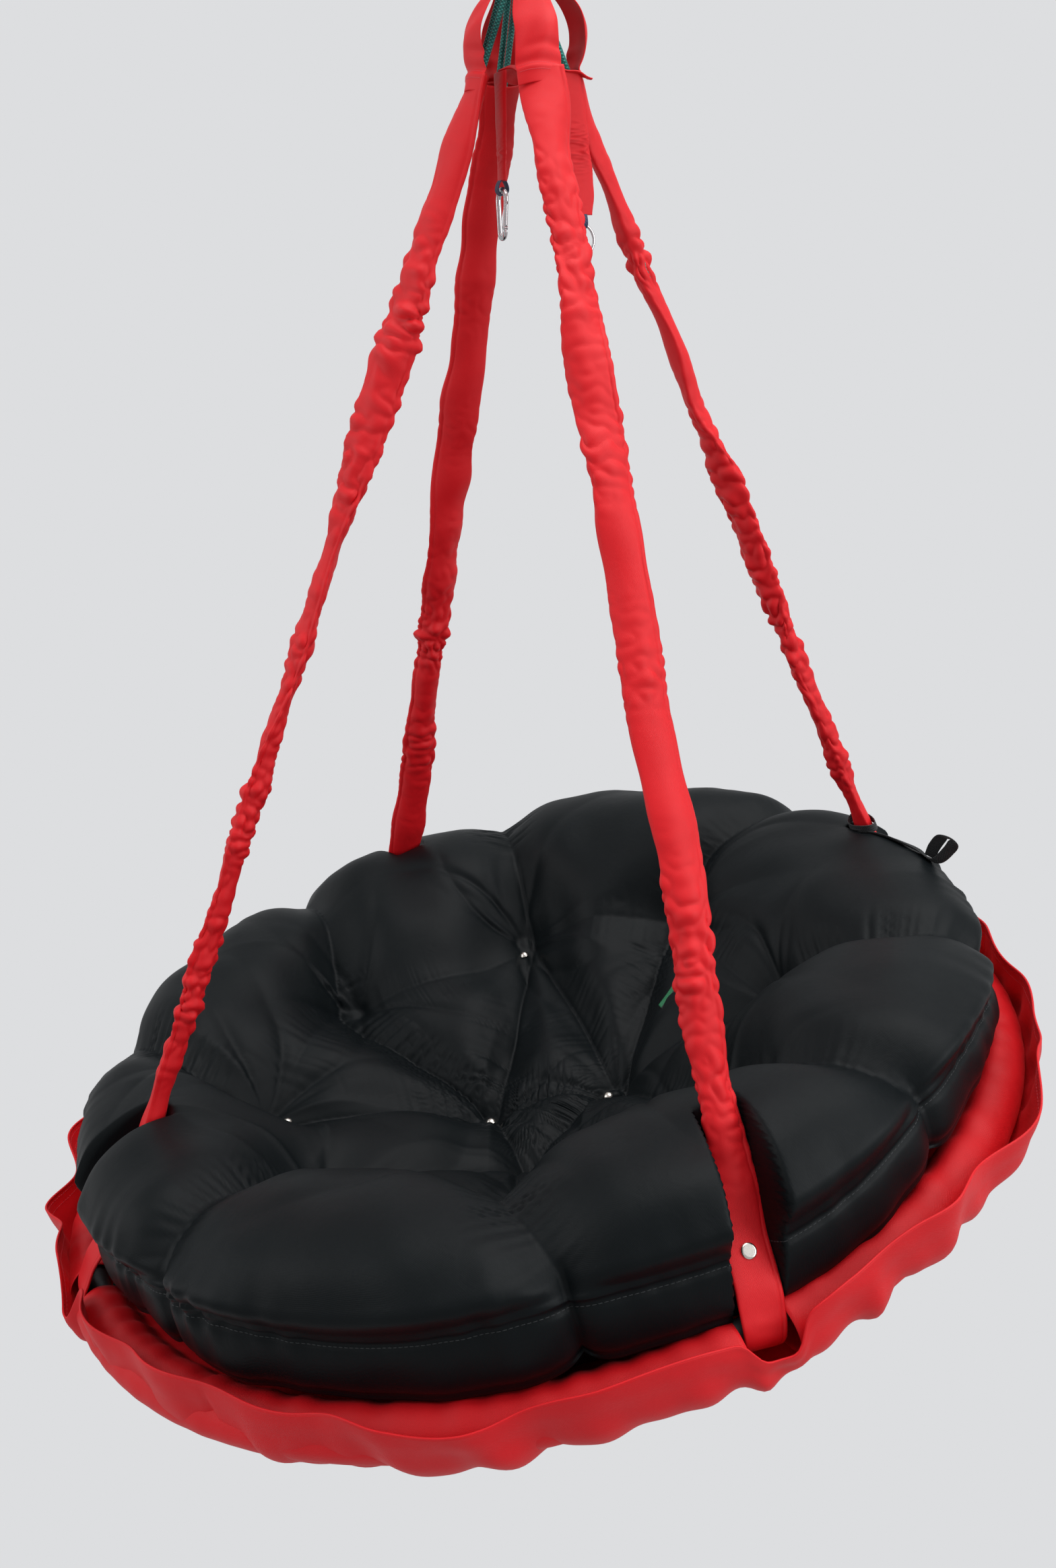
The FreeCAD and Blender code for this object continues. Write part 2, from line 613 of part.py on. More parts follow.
def sling_arc(lift):
    """A face of the dish from its centre to the hoop: the curve and its two ends."""
    edge = HOOP_RADIUS - HOOP_TUBE_RADIUS - CASING_THICKNESS / 2
    inner = V(0, 0, sling_height(0) + lift)
    middle = V(edge / 2, 0, sling_height(edge / 2) + lift)
    outer = V(edge, 0, lift - 1)
    return arc(inner, middle, outer), inner, outer


def seat_sling():
    """The fabric dish, with the casing that holds it on the hoop, open where the ropes pass."""
    top, top_centre, top_edge = sling_arc(0)
    low, low_centre, low_edge = sling_arc(-SLING_THICKNESS)
    dish = revolved([top, line(top_edge, low_edge), low, line(low_centre, top_centre)])
    casing_radius = HOOP_TUBE_RADIUS + CLEARANCE + CASING_THICKNESS
    casing = Part.makeTorus(HOOP_RADIUS, casing_radius)
    bore = Part.makeTorus(HOOP_RADIUS, HOOP_TUBE_RADIUS + CLEARANCE)
    sling = fuse([dish.cut(Part.makeTorus(HOOP_RADIUS, casing_radius - 0.5)), casing.cut(bore)])
    gaps = rope_notches(HOOP_RADIUS - NOTCH_DEPTH, HOOP_RADIUS + 40, -60, 60, NOTCH_HALF_WIDTH)
    return on_seat(sling.cut(Part.makeCompound(gaps)))


def rim_flounce():
    """The loose fabric wall that is sewn under the sling and stands up outside the hoop."""
    inner = HOOP_RADIUS - FLOUNCE_SEAM
    under = sling_height(inner) - SLING_THICKNESS - FLOUNCE_THICKNESS - 2
    reach = HOOP_RADIUS + FLOUNCE_REACH
    drop = -FLOUNCE_DROP
    profile = [V(inner, 0, under), V(HOOP_RADIUS - 20, 0, drop + 4), V(HOOP_RADIUS + 8, 0, drop),
               V(reach - 8, 0, drop + 18), V(reach, 0, 0), V(reach + 2, 0, FLOUNCE_HEM)]
    lift = V(-0.6, 0, 0.8) * FLOUNCE_THICKNESS
    inside = [p + lift for p in reversed(profile)]
    outline = Part.makePolygon(profile + inside + profile[:1])
    wall = revolved(outline.Edges)
    gaps = rope_notches(HOOP_RADIUS + 14, reach + 20, -FLOUNCE_HEM / 2, FLOUNCE_HEM + 10, HEM_NOTCH_HALF)
    return on_seat(wall.cut(Part.makeCompound(gaps)))


def cushion_top(radius):
    """Height of the dished top inside the crest: a circle through centre, shoulder and foot."""
    share = min(radius / CUSHION_DISH_RADIUS, 1.0)
    return CUSHION_CENTRE + (CUSHION_DISH_HEIGHT - CUSHION_CENTRE) * share ** 2


def tufts():
    """Place of every tuft in the hoop's plane."""
    places = []
    for angle in INNER_TUFT_ANGLES:
        turn = math.radians(angle)
        x = TUFT_CENTRE_SHIFT + INNER_TUFT_RADIUS * math.cos(turn)
        places.append((x, INNER_TUFT_RADIUS * math.sin(turn)))
    for angle in OUTER_TUFT_ANGLES:
        turn = math.radians(angle)
        places.append((OUTER_TUFT_RADIUS * math.cos(turn), OUTER_TUFT_RADIUS * math.sin(turn)))
    return places


def pit_floor(x, y):
    return cushion_top(math.hypot(x, y)) - TUFT_DEPTH


def cushion_profile():
    dish_rim = V(CUSHION_DISH_RADIUS, 0, CUSHION_DISH_HEIGHT)
    centre = V(0, 0, CUSHION_CENTRE)
    half = CUSHION_DISH_RADIUS / 2
    under_gap = CUSHION_UNDER_GAP
    foot_radius = HOOP_RADIUS - CUSHION_FOOT_INSET
    foot = V(foot_radius, 0, sling_height(foot_radius) + under_gap)
    bottom = V(0, 0, sling_height(0) + under_gap)
    lip = V(HOOP_RADIUS - 24, 0, CUSHION_EDGE_LOW - 6)
    low = V(CUSHION_RADIUS - 4, 0, CUSHION_EDGE_LOW)
    high = V(CUSHION_RADIUS, 0, CUSHION_EDGE_HIGH)
    crest = V(CUSHION_CREST_RADIUS, 0, CUSHION_CREST)
    return [
        arc(bottom, V(foot_radius / 2, 0, sling_height(foot_radius / 2) + under_gap), foot),
        line(foot, lip),
        line(lip, low),
        line(low, high),
        arc(high, crest, dish_rim),
        arc(dish_rim, V(half, 0, cushion_top(half)), centre),
        line(centre, bottom),
    ]


def cushion():
    pad = revolved(cushion_profile())
    cuts = []
    for x, y in tufts():
        floor = V(x, y, pit_floor(x, y))
        cuts.append(Part.makeCone(BUTTON_RADIUS + 1, TUFT_MOUTH_RADIUS, TUFT_DEPTH + 12, floor, Z_AXIS))
        under = sling_height(math.hypot(x, y))
        recess = V(x, y, under - 20)
        deep = 20 + BACK_BUTTON_LIFT + BACK_BUTTON_THICKNESS + 2
        cuts.append(Part.makeCylinder(BACK_BUTTON_RADIUS + 1, deep, recess, Z_AXIS))
    pad = on_seat(pad.cut(Part.makeCompound(cuts)))
    keep_out = []
    socket = SNAP_GAP + SOCKET_THICKNESS + 0.4
    along_sleeve = SLEEVE_THICKNESS / 2 + SLEEVE_WALL + CLEARANCE + socket + CUSHION_NOTCH_GAP
    beside_hoop = TAIL_TURN + SLEEVE_WALL + CUSHION_NOTCH_GAP
    for rope in ROPES:
        keep_out.append(rope_room(rope, 4 * SLEEVE_END, along_sleeve))
        keep_out.append(rope_room(rope, SLEEVE_END, beside_hoop))
    return pad.cut(Part.makeCompound(keep_out))


def rope_room(rope, top, inner):
    """Space kept free of padding along a sleeve: up to a height above the hoop, open outwards."""
    half = SLEEVE_WIDTH / 2 + CUSHION_NOTCH_GAP
    below = -0.75 * SLEEVE_END
    corners = [rope.above_hoop(top, -half, -inner), rope.above_hoop(below, -half, -inner),
               rope.above_hoop(below, -half, CUSHION_NOTCH_REACH),
               rope.above_hoop(top, -half, CUSHION_NOTCH_REACH)]
    outline = Part.Face(Part.makePolygon(corners + corners[:1]))
    return outline.extrude(rope.across * (2 * half))


def button(x, y):
    floor = V(x, y, pit_floor(x, y))
    ball_radius = (BUTTON_RADIUS ** 2 + BUTTON_HEIGHT ** 2) / (2 * BUTTON_HEIGHT)
    ball = Part.makeSphere(ball_radius, floor + V(0, 0, BUTTON_HEIGHT - ball_radius))
    return ball.common(Part.makeCylinder(BUTTON_RADIUS, BUTTON_HEIGHT, floor, Z_AXIS))


def back_button(x, y):
    under = V(x, y, sling_height(math.hypot(x, y)) + BACK_BUTTON_LIFT)
    return Part.makeCylinder(BACK_BUTTON_RADIUS, BACK_BUTTON_THICKNESS, under, Z_AXIS)


def cushion_tie():
    """A webbing loop sewn to the cushion's back edge, round the back sleeve, with a loose tab."""
    rope = ROPES[1]
    half = SLEEVE_WIDTH / 2 + TIE_GAP
    inside = -SLEEVE_THICKNESS / 2 - TIE_GAP - 0.5
    outside = SLEEVE_THICKNESS / 2 + TIE_GAP
    wall = WEBBING_THICKNESS
    width = rope.down * WEBBING_WIDTH

    def frame_of(left, right, low, high):
        corners = [(left, low), (right, low), (right, high), (left, high), (left, low)]
        outline = [rope.above_hoop(TIE_HEIGHT, across, outward) for across, outward in corners]
        return Part.Face(Part.makePolygon(outline)).extrude(width)

    ring = frame_of(-half - wall, half + wall, inside - wall, outside + wall)
    ring = ring.cut(frame_of(-half, half, inside, outside))
    tab = frame_of(half, half + TIE_TAB, outside, outside + wall)
    return fuse([ring, tab])


def cushion_label():
    """A blank woven tab lying on the cushion's inner slope towards the back rope."""
    length, width, thickness = LABEL_SIZE
    plate = Part.makeBox(length, width, thickness, V(-length / 2, -width / 2, 0))
    plate.rotate(V(0, 0, 0), Y_AXIS, LABEL_LEAN)
    plate.rotate(V(0, 0, 0), Z_AXIS, LABEL_TURN)
    radius = CUSHION_DISH_RADIUS * LABEL_RADIUS
    turn = math.radians(LABEL_ANGLE)
    lift = cushion_top(radius) + LABEL_LIFT
    plate.translate(V(radius * math.cos(turn), radius * math.sin(turn), lift))
    return on_seat(plate)


# --- short straps under the hub -----------------------------------------------------------------
def strap_tube(width_dir, x, y, length):
    """A flat fabric sleeve hanging down, open at the bottom for its webbing."""
    thick_dir = Z_AXIS.cross(width_dir)
    top = V(x, y, APEX_Z - STRAP_TOP - STRAP_GAP)

    def block(width, thickness, start, end):
        corner = top - width_dir * (width / 2) - thick_dir * (thickness / 2) - Z_AXIS * start
        across = width_dir * width
        through = thick_dir * thickness
        outline = [corner, corner + across, corner + across + through, corner + through, corner]
        return Part.Face(Part.makePolygon(outline)).extrude(Z_AXIS * (start - end))

    outer = block(STRAP_WIDTH, STRAP_THICKNESS, 0, length)
    inner = block(STRAP_WIDTH - 2 * STRAP_WALL, STRAP_THICKNESS - 2 * STRAP_WALL, STRAP_WALL, length + 1)
    return outer.cut(inner)


def loop_radius(bow, wire, width):
    """Inside of a webbing loop that a curved wire can turn in."""
    return bow - math.sqrt((bow - wire / 2) ** 2 - (width / 2) ** 2) + CLEARANCE


def webbing_loop(width_dir, width, hang, inner):
    """A folded webbing: two legs in the strap and a rounded loop under the wire that hangs in it."""
    thick_dir = Z_AXIS.cross(width_dir)
    bend = STRAP_THICKNESS / 2 - STRAP_WALL - 0.1
    legs = bend - WEBBING_THICKNESS
    outer = inner + WEBBING_THICKNESS
    high = STRAP_HANG - 1.0

    def p(out, up):
        return hang + Z_AXIS * up + thick_dir * out - width_dir * (width / 2)

    outline = Part.Wire([
        line(p(bend, WEBBING_REACH), p(bend, high)),
        line(p(bend, high), p(outer, 0)),
        arc(p(outer, 0), p(0, -outer), p(-outer, 0)),
        line(p(-outer, 0), p(-bend, high)),
        line(p(-bend, high), p(-bend, WEBBING_REACH)),
        line(p(-bend, WEBBING_REACH), p(-legs, WEBBING_REACH)),
        line(p(-legs, WEBBING_REACH), p(-legs, high)),
        line(p(-legs, high), p(-inner, 0)),
        arc(p(-inner, 0), p(0, -inner), p(inner, 0)),
        line(p(inner, 0), p(legs, high)),
        line(p(legs, high), p(legs, WEBBING_REACH)),
        line(p(legs, WEBBING_REACH), p(bend, WEBBING_REACH)),
    ])
    return Part.Face(outline).extrude(width_dir * width)


def ring_hang():
    """Centre of the loose ring's wire where it hangs in its webbing loop."""
    return V(RING_STRAP_X, RING_STRAP_Y, APEX_Z - STRAP_TOP - RING_STRAP_LENGTH - STRAP_HANG)


def strap_ring():
    """The loose ring, its plane along Y, hanging by its top in the webbing."""
    ring = Part.makeTorus(RING_RADIUS, RING_WIRE / 2)
    ring.rotate(V(0, 0, 0), Y_AXIS, 90)
    ring.translate(ring_hang() - Z_AXIS * RING_RADIUS)
    return ring


# --- write every piece --------------------------------------------------------------------------
os.makedirs("parts", exist_ok=True)
print("meeting point z", round(APEX_Z, 3), "hoop centre z", round(SEAT_Z, 3),
      "carabiner top z", round(CARABINER_TOP_Z, 3))

carabiner = SnapHook(CARABINER_WIRE, CARABINER_WIDE_RADIUS, CARABINER_NARROW_RADIUS, CARABINER_SPAN)
hook = SnapHook(HOOK_WIRE, HOOK_WIDE_RADIUS, HOOK_NARROW_RADIUS, HOOK_SPAN)
print("carabiner pin", placed_carabiner(Part.Vertex(carabiner.pin)).Point,
      "hook pin", placed_hook(Part.Vertex(hook.pin)).Point,
      "hook hangs at", hook_hang(), "ring hangs at", ring_hang())

write("swivel_upper_eye", swivel_upper_eye())
write("swivel_bearing", swivel_bearing())
write("swivel_nut", swivel_nut())
write("swivel_lower_eye", swivel_lower_eye())
write("carabiner_frame", placed_carabiner(carabiner.frame()))
write("carabiner_gate", placed_carabiner(carabiner.gate()))
write("carabiner_gate_pin", placed_carabiner(carabiner.gate_pin()))
for rope in ROPES:
    write("rope_" + rope.side, cord(rope))
    write("sleeve_" + rope.side, sleeve(rope))
    write("hub_band_" + rope.side, hub_band(rope))
write("rope_knots", Part.makeCompound([knot(rope) for rope in ROPES]))
write("snap_caps", Part.makeCompound([snap_cap(rope) for rope in ROPES]))
write("snap_sockets", Part.makeCompound([snap_socket(rope) for rope in ROPES]))
write("hub_gusset", hub_gusset())
write("hoop", hoop())
write("seat_sling", seat_sling())
write("rim_flounce", rim_flounce())
write("cushion", cushion())
write("cushion_buttons", on_seat(Part.makeCompound([button(x, y) for x, y in tufts()])))
write("cushion_back_buttons", on_seat(Part.makeCompound([back_button(x, y) for x, y in tufts()])))
write("cushion_tie", cushion_tie())
write("cushion_label", cushion_label())
write("hook_strap", strap_tube(X_AXIS, HOOK_STRAP_X, HOOK_STRAP_Y, HOOK_STRAP_LENGTH))
write("hook_strap_webbing", webbing_loop(X_AXIS, WEBBING_WIDTH, hook_hang(),
                                         loop_radius(HOOK_WIDE_RADIUS, HOOK_WIRE, WEBBING_WIDTH)))
write("snap_hook_frame", placed_hook(hook.frame()))
write("snap_hook_gate", placed_hook(hook.gate()))
write("snap_hook_gate_pin", placed_hook(hook.gate_pin()))
write("ring_strap", strap_tube(Y_AXIS, RING_STRAP_X, RING_STRAP_Y, RING_STRAP_LENGTH))
write("ring_strap_webbing", webbing_loop(Y_AXIS, RING_WEBBING_WIDTH, ring_hang(),
                                         loop_radius(RING_RADIUS, RING_WIRE, RING_WEBBING_WIDTH)))
write("strap_ring", strap_ring())
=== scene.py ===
import json
import logging
import math
from dataclasses import dataclass
from enum import Enum

import bmesh
import bpy
import numpy as np
from mathutils import Matrix, Vector


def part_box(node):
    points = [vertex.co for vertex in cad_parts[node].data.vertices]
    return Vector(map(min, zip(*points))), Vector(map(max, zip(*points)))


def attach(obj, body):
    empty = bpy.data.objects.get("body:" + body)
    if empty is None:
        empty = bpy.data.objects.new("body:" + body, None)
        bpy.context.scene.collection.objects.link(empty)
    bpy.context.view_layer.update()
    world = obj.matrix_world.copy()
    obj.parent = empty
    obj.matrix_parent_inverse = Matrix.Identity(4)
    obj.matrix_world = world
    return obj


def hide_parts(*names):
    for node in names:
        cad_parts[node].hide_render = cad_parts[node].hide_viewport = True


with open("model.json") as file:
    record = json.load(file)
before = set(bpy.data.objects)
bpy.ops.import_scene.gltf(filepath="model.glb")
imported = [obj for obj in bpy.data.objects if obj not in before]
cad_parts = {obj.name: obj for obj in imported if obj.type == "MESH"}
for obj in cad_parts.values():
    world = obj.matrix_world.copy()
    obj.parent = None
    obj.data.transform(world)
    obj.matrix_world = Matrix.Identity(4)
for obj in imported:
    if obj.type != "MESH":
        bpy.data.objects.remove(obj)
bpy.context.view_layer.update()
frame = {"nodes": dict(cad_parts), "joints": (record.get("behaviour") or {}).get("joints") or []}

LOG = logging.getLogger("nest_swing")
Array = np.ndarray
Z = np.array([0.0, 0.0, 1.0])


# --- shaping functions --------------------------------------------------------------------------
def ramp(low: float, high: float, x: Array) -> Array:
    """Smooth step: 0 below low, 1 above high, and 3t^2 - 2t^3 between them."""
    t = np.clip((np.asarray(x, float) - low) / (high - low), 0.0, 1.0)
    return t * t * (3.0 - 2.0 * t)


def hill(x: Array, centre: float, half: float) -> Array:
    """Bell curve exp(-((x - centre) / half)^2)."""
    return np.exp(-(((np.asarray(x, float) - centre) / half) ** 2))


def eased(x: Array, keys: tuple[tuple[float, float], ...]) -> Array:
    """A value that goes through keys with a smooth step between each two.

    Args:
        x: where the value is wanted.
        keys: pairs of place and value, in rising order of place.

    Returns:
        The values, level beyond the first and the last key.
    """
    places = np.array([k[0] for k in keys])
    values = np.array([k[1] for k in keys])
    i = np.clip(np.searchsorted(places, x, side="right") - 1, 0, len(places) - 2)
    share = ramp(0.0, 1.0, (x - places[i]) / (places[i + 1] - places[i]))
    return values[i] + (values[i + 1] - values[i]) * share


def wander(x: Array, seed: int, low: float, high: float, waves: int = 6) -> Array:
    """Sum of sine waves with seeded frequencies and phases, of about unit height.

    Args:
        x: where the value is wanted.
        seed: seed of the frequencies and phases.
        low: lowest frequency, in waves for each unit of x.
        high: highest frequency.
        waves: how many sine waves are added.

    Returns:
        The values, the sum divided by the square root of half their number.
    """
    rng = np.random.default_rng(seed)
    rates = rng.uniform(low, high, waves) * 2 * math.pi
    phases = rng.uniform(0, 2 * math.pi, waves)
    total = sum(np.sin(np.asarray(x) * r + p) for r, p in zip(rates, phases))
    return total / math.sqrt(waves / 2)


def whole_wander(turn: Array, seed: int, low: int, high: int, waves: int = 6) -> Array:
    """As wander, round a circle: whole waves for each turn, so that the ends meet.

    Args:
        turn: angle in radians.
        seed: seed of the waves.
        low: fewest waves round the circle.
        high: most waves round the circle.
        waves: how many sine waves are added.

    Returns:
        The values at each angle.
    """
    rng = np.random.default_rng(seed)
    rates = rng.integers(low, high + 1, waves)
    phases = rng.uniform(0, 2 * math.pi, waves)
    total = sum(np.sin(turn * r + p) for r, p in zip(rates, phases))
    return total / math.sqrt(waves / 2)


def plane_wander(x: Array, y: Array, seed: int, low: float, high: float, waves: int = 12) -> Array:
    """Sum of plane sine waves in seeded directions, of about unit height.

    Args:
        x: first coordinate in metres.
        y: second coordinate in metres.
        seed: seed of the waves.
        low: lowest rate in radians for each metre.
        high: highest rate.
        waves: how many waves are added.

    Returns:
        The values at each point.
    """
    rng = np.random.default_rng(seed)
    rates = rng.uniform(low, high, waves)
    turns = rng.uniform(0, 2 * math.pi, waves)
    phases = rng.uniform(0, 2 * math.pi, waves)
    total = np.zeros(np.broadcast(x, y).shape)
    for rate, turn, phase in zip(rates, turns, phases):
        total += np.sin(rate * (x * math.cos(turn) + y * math.sin(turn)) + phase)
    return total / math.sqrt(waves / 2)


def turned_from(turn: Array, middle: float) -> Array:
    """Angle from a middle direction, brought between -pi and pi."""
    return np.angle(np.exp(1j * (turn - middle)))


def spline(points: Array, step: float) -> Array:
    """A smooth line through points, stations an equal distance apart.

    Each span is a Catmull-Rom cubic: half of (2b + (c-a)t + (2a-5b+4c-d)t^2 + (3b-a-3c+d)t^3).

    Args:
        points: places that the line goes through, one for each row.
        step: distance between stations.

    Returns:
        The stations, one for each row.
    """
    p = np.asarray(points, float)
    p = np.vstack([2 * p[0] - p[1], p, 2 * p[-1] - p[-2]])
    t = np.linspace(0, 1, 24, endpoint=False)[None, :, None]
    a, b, c, d = (p[i:len(p) - 3 + i][:, None, :] for i in range(4))
    fine = (0.5 * (2 * b + (c - a) * t + (2 * a - 5 * b + 4 * c - d) * t ** 2
                   + (3 * b - a - 3 * c + d) * t ** 3))
    fine = np.vstack([fine.reshape(-1, p.shape[1]), p[-2]])
    length = np.concatenate([[0], np.cumsum(np.linalg.norm(np.diff(fine, axis=0), axis=1))])
    count = max(int(round(length[-1] / step)), 2) + 1
    places = np.linspace(0, length[-1], count)
    return np.stack([np.interp(places, length, fine[:, k]) for k in range(p.shape[1])], axis=1)


def lengths(line: Array) -> Array:
    """Distance along a line of points at each point, from 0 at the first."""
    return np.concatenate([[0], np.cumsum(np.linalg.norm(np.diff(line, axis=0), axis=1))])


def unit(v: Array) -> Array:
    """Vectors brought to length 1 along their last axis."""
    return v / np.maximum(np.linalg.norm(v, axis=-1, keepdims=True), 1e-12)


# --- mesh building ------------------------------------------------------------------------------
def object_of(name: str, points: Array, faces: list[Array], uv: list[Array] | None,
              material: bpy.types.Material) -> bpy.types.Object:
    """A smooth mesh object at the origin from arrays of points and faces.

    Args:
        name: name of the piece.
        points: vertices, one for each row.
        faces: arrays of vertex numbers, each with faces of one number of corners.
        uv: for each array of faces, the UV of each corner, or None for no UV map.
        material: the piece's finish.

    Returns:
        The linked object.
    """
    mesh = bpy.data.meshes.new(name)
    corners = np.concatenate([f.ravel() for f in faces]).astype(np.int32)
    sizes = np.concatenate([np.full(len(f), f.shape[1]) for f in faces])
    starts = np.concatenate([[0], np.cumsum(sizes)[:-1]]).astype(np.int32)
    mesh.vertices.add(len(points))
    mesh.vertices.foreach_set("co", np.ascontiguousarray(points, np.float32).ravel())
    mesh.loops.add(len(corners))
    mesh.loops.foreach_set("vertex_index", corners)
    mesh.polygons.add(len(sizes))
    mesh.polygons.foreach_set("loop_start", starts)
    if uv is not None:
        layer = mesh.uv_layers.new(name="UVMap")
        flat = np.concatenate([u.reshape(-1, 2) for u in uv]).astype(np.float32)
        layer.data.foreach_set("uv", flat.ravel())
    mesh.update(calc_edges=True)
    mesh.validate()
    mesh.polygons.foreach_set("use_smooth", np.ones(len(mesh.polygons), bool))
    obj = bpy.data.objects.new(name, mesh)
    bpy.context.scene.collection.objects.link(obj)
    mesh.materials.append(material)
    return obj


def grid_faces(rows: int, cols: int, closed: bool) -> Array:
    """Corner numbers of the quads of a grid whose vertices are numbered row by row."""
    r = np.arange(rows - 1)[:, None]
    c = np.arange(cols if closed else cols - 1)[None, :]
    nxt = (c + 1) % cols
    quad = np.stack(np.broadcast_arrays(r * cols + c, r * cols + nxt, (r + 1) * cols + nxt, (r + 1) * cols
                                        + c), axis=-1)
    return quad


def surface(name: str, grid: Array, material: bpy.types.Material, closed: bool = False, flip: bool = False,
            caps: tuple[bool, bool] = (False, False), keep: Array | None = None) -> bpy.types.Object:
    """A mesh from a grid of points, with a UV map in metres along and across it.

    Args:
        name: name of the piece.
        grid: points by row, column and coordinate.
        material: the piece's finish.
        closed: whether the last column joins the first.
        flip: whether the faces are turned round.
        caps: whether the first and the last row are closed by a fan about their middle.
        keep: which faces are kept, by row and column, or None for all.

    Returns:
        The linked object.
    """
    rows, cols = grid.shape[:2]
    points = grid.reshape(-1, 3)
    quads = grid_faces(rows, cols, closed)
    ring = np.concatenate([grid, grid[:, :1]], axis=1) if closed else grid
    across = np.linalg.norm(np.diff(ring, axis=1), axis=2).mean(axis=0)
    u = np.concatenate([[0], np.cumsum(across)])
    v = np.concatenate([[0], np.cumsum(np.linalg.norm(np.diff(grid, axis=0), axis=2).mean(axis=1))])
    uu, vv = np.meshgrid(u, v)
    uv = np.stack([uu, vv], axis=-1)
    corner_uv = np.stack([uv[:-1, :-1], uv[:-1, 1:], uv[1:, 1:], uv[1:, :-1]], axis=2)
    if keep is None:
        quads, corner_uv = quads.reshape(-1, 4), corner_uv.reshape(-1, 4, 2)
    else:
        quads, corner_uv = quads[keep], corner_uv[keep]
    faces, uvs = [quads], [corner_uv]
    for which, wanted in enumerate(caps):
        if wanted:
            start = (rows - 1) * cols if which else 0
            middle = len(points)
            points = np.vstack([points, points[start:start + cols].mean(axis=0)])
            c = np.arange(cols)
            around = ([start + (c + 1) % cols, start + c] if which == 0
                      else [start + c, start + (c + 1) % cols])
            faces.append(np.stack([*around, np.full(cols, middle)], axis=1))
            uvs.append(np.tile(uv[-1 if which else 0, :cols][:, None, :], (1, 3, 1)))
    if flip:
        faces = [f[:, ::-1] for f in faces]
        uvs = [w[:, ::-1] for w in uvs]
    used = np.unique(np.concatenate([f.ravel() for f in faces]))
    renumber = np.full(len(points), -1)
    renumber[used] = np.arange(len(used))
    return object_of(name, points[used], [renumber[f] for f in faces], uvs, material)


def thicken(obj: bpy.types.Object, thickness: float, offset: float = -1.0) -> None:
    """Gives an open sheet its wall, on the side away from its normals by default."""
    wall = obj.modifiers.new("wall", "SOLIDIFY")
    wall.thickness = thickness
    wall.offset = offset
    wall.use_even_offset = False


def smoothed(obj: bpy.types.Object, levels: int = 1) -> None:
    """Adds a subdivision surface with the same levels shown and rendered."""
    sub = obj.modifiers.new("smooth", "SUBSURF")
    sub.levels = levels
    sub.render_levels = levels


def tube_grid(line: Array, radius: float, sides: int) -> Array:
    """Points of a round tube about a line, its section carried along without twist.

    Args:
        line: centreline, one point for each row.
        radius: radius of the tube.
        sides: points in each ring.

    Returns:
        Points by station, side and coordinate.
    """
    tangent = unit(np.gradient(line, axis=0))
    normal = np.zeros_like(line)
    side = np.cross(tangent[0], Z if abs(tangent[0][2]) < 0.9 else np.array([1.0, 0, 0]))
    normal[0] = side / np.linalg.norm(side)
    for i in range(1, len(line)):
        n = normal[i - 1] - tangent[i] * np.dot(normal[i - 1], tangent[i])
        normal[i] = n / np.linalg.norm(n)
    binormal = np.cross(tangent, normal)
    a = np.linspace(0, 2 * math.pi, sides, endpoint=False)
    ring = np.cos(a)[None, :, None] * normal[:, None] + np.sin(a)[None, :, None] * binormal[:, None]
    return line[:, None] + radius * ring


def stitches(name: str, places: Array, along: Array, out: Array, length: float, radius: float,
             material: bpy.types.Material) -> bpy.types.Object:
    """Many short raised stitches in one mesh, each a small six-sided spindle.

    Ring k of a stitch lies at (k/4 - 1/2) of its length, with radius times the half circle there.

    Args:
        name: name of the piece.
        places: middle of each stitch.
        along: direction of each stitch.
        out: direction that each stitch stands up in.
        length: length of a stitch.
        radius: half its thickness.
        material: finish of the thread.

    Returns:
        The linked object.
    """
    along = unit(along)
    out = unit(out - along * (out * along).sum(-1, keepdims=True))
    side = np.cross(along, out)
    s = np.array([-0.5, -0.3, 0.0, 0.3, 0.5])
    grow = np.array([0.35, 0.85, 1.0, 0.85, 0.35]) * radius
    a = np.linspace(0, 2 * math.pi, 6, endpoint=False)
    lift = (np.sin(a)[None, None, :, None] * out[:, None, None]
            + np.cos(a)[None, None, :, None] * side[:, None, None])
    points = places[:, None, None] + along[:, None, None] * (s * length)[None, :, None, None]
    points = points + lift * grow[None, :, None, None]
    count = len(places)
    quads = grid_faces(5, 6, True).reshape(-1, 4)
    starts = (np.arange(count) * 30)[:, None, None]
    faces = (quads[None] + starts).reshape(-1, 4)
    ends = np.array([[5, 4, 3, 2, 1, 0], [24, 25, 26, 27, 28, 29]])
    hexes = (ends[None] + starts).reshape(-1, 6)
    return object_of(name, points.reshape(-1, 3), [faces, hexes], None, material)


def seam_row(row: Array, beside: Array, pitch: float) -> tuple[Array, Array, Array]:
    """Where stitches lie along a closed row of a grid, evenly spaced.

    The way out is the cross product of the row's direction and the step to the row beside it, turned away
    from the seat's centre.

    Args:
        row: points of the sewn row.
        beside: points of a row beside it.
        pitch: distance between stitches.

    Returns:
        Places, directions and outward directions of the stitches.
    """
    ring = np.concatenate([row, row[:1]])
    inner = np.concatenate([beside, beside[:1]])
    run = lengths(ring)
    even = np.arange(0, run[-1], pitch)
    at = np.stack([np.interp(even, run, ring[:, k]) for k in range(3)], axis=1)
    lower = np.stack([np.interp(even, run, inner[:, k]) for k in range(3)], axis=1)
    along = np.gradient(at, axis=0)
    out = np.cross(along, lower - at)
    away = ((at - np.array(SEAT.centre)) * out).sum(-1, keepdims=True)
    return at, along, np.where(away < 0, -out, out)


# --- where things are ---------------------------------------------------------------------------
def pivot(joint: str) -> Array:
    """The place of a joint."""
    return np.array(next(j["pos_m"] for j in frame["joints"] if j["name"] == joint), float)


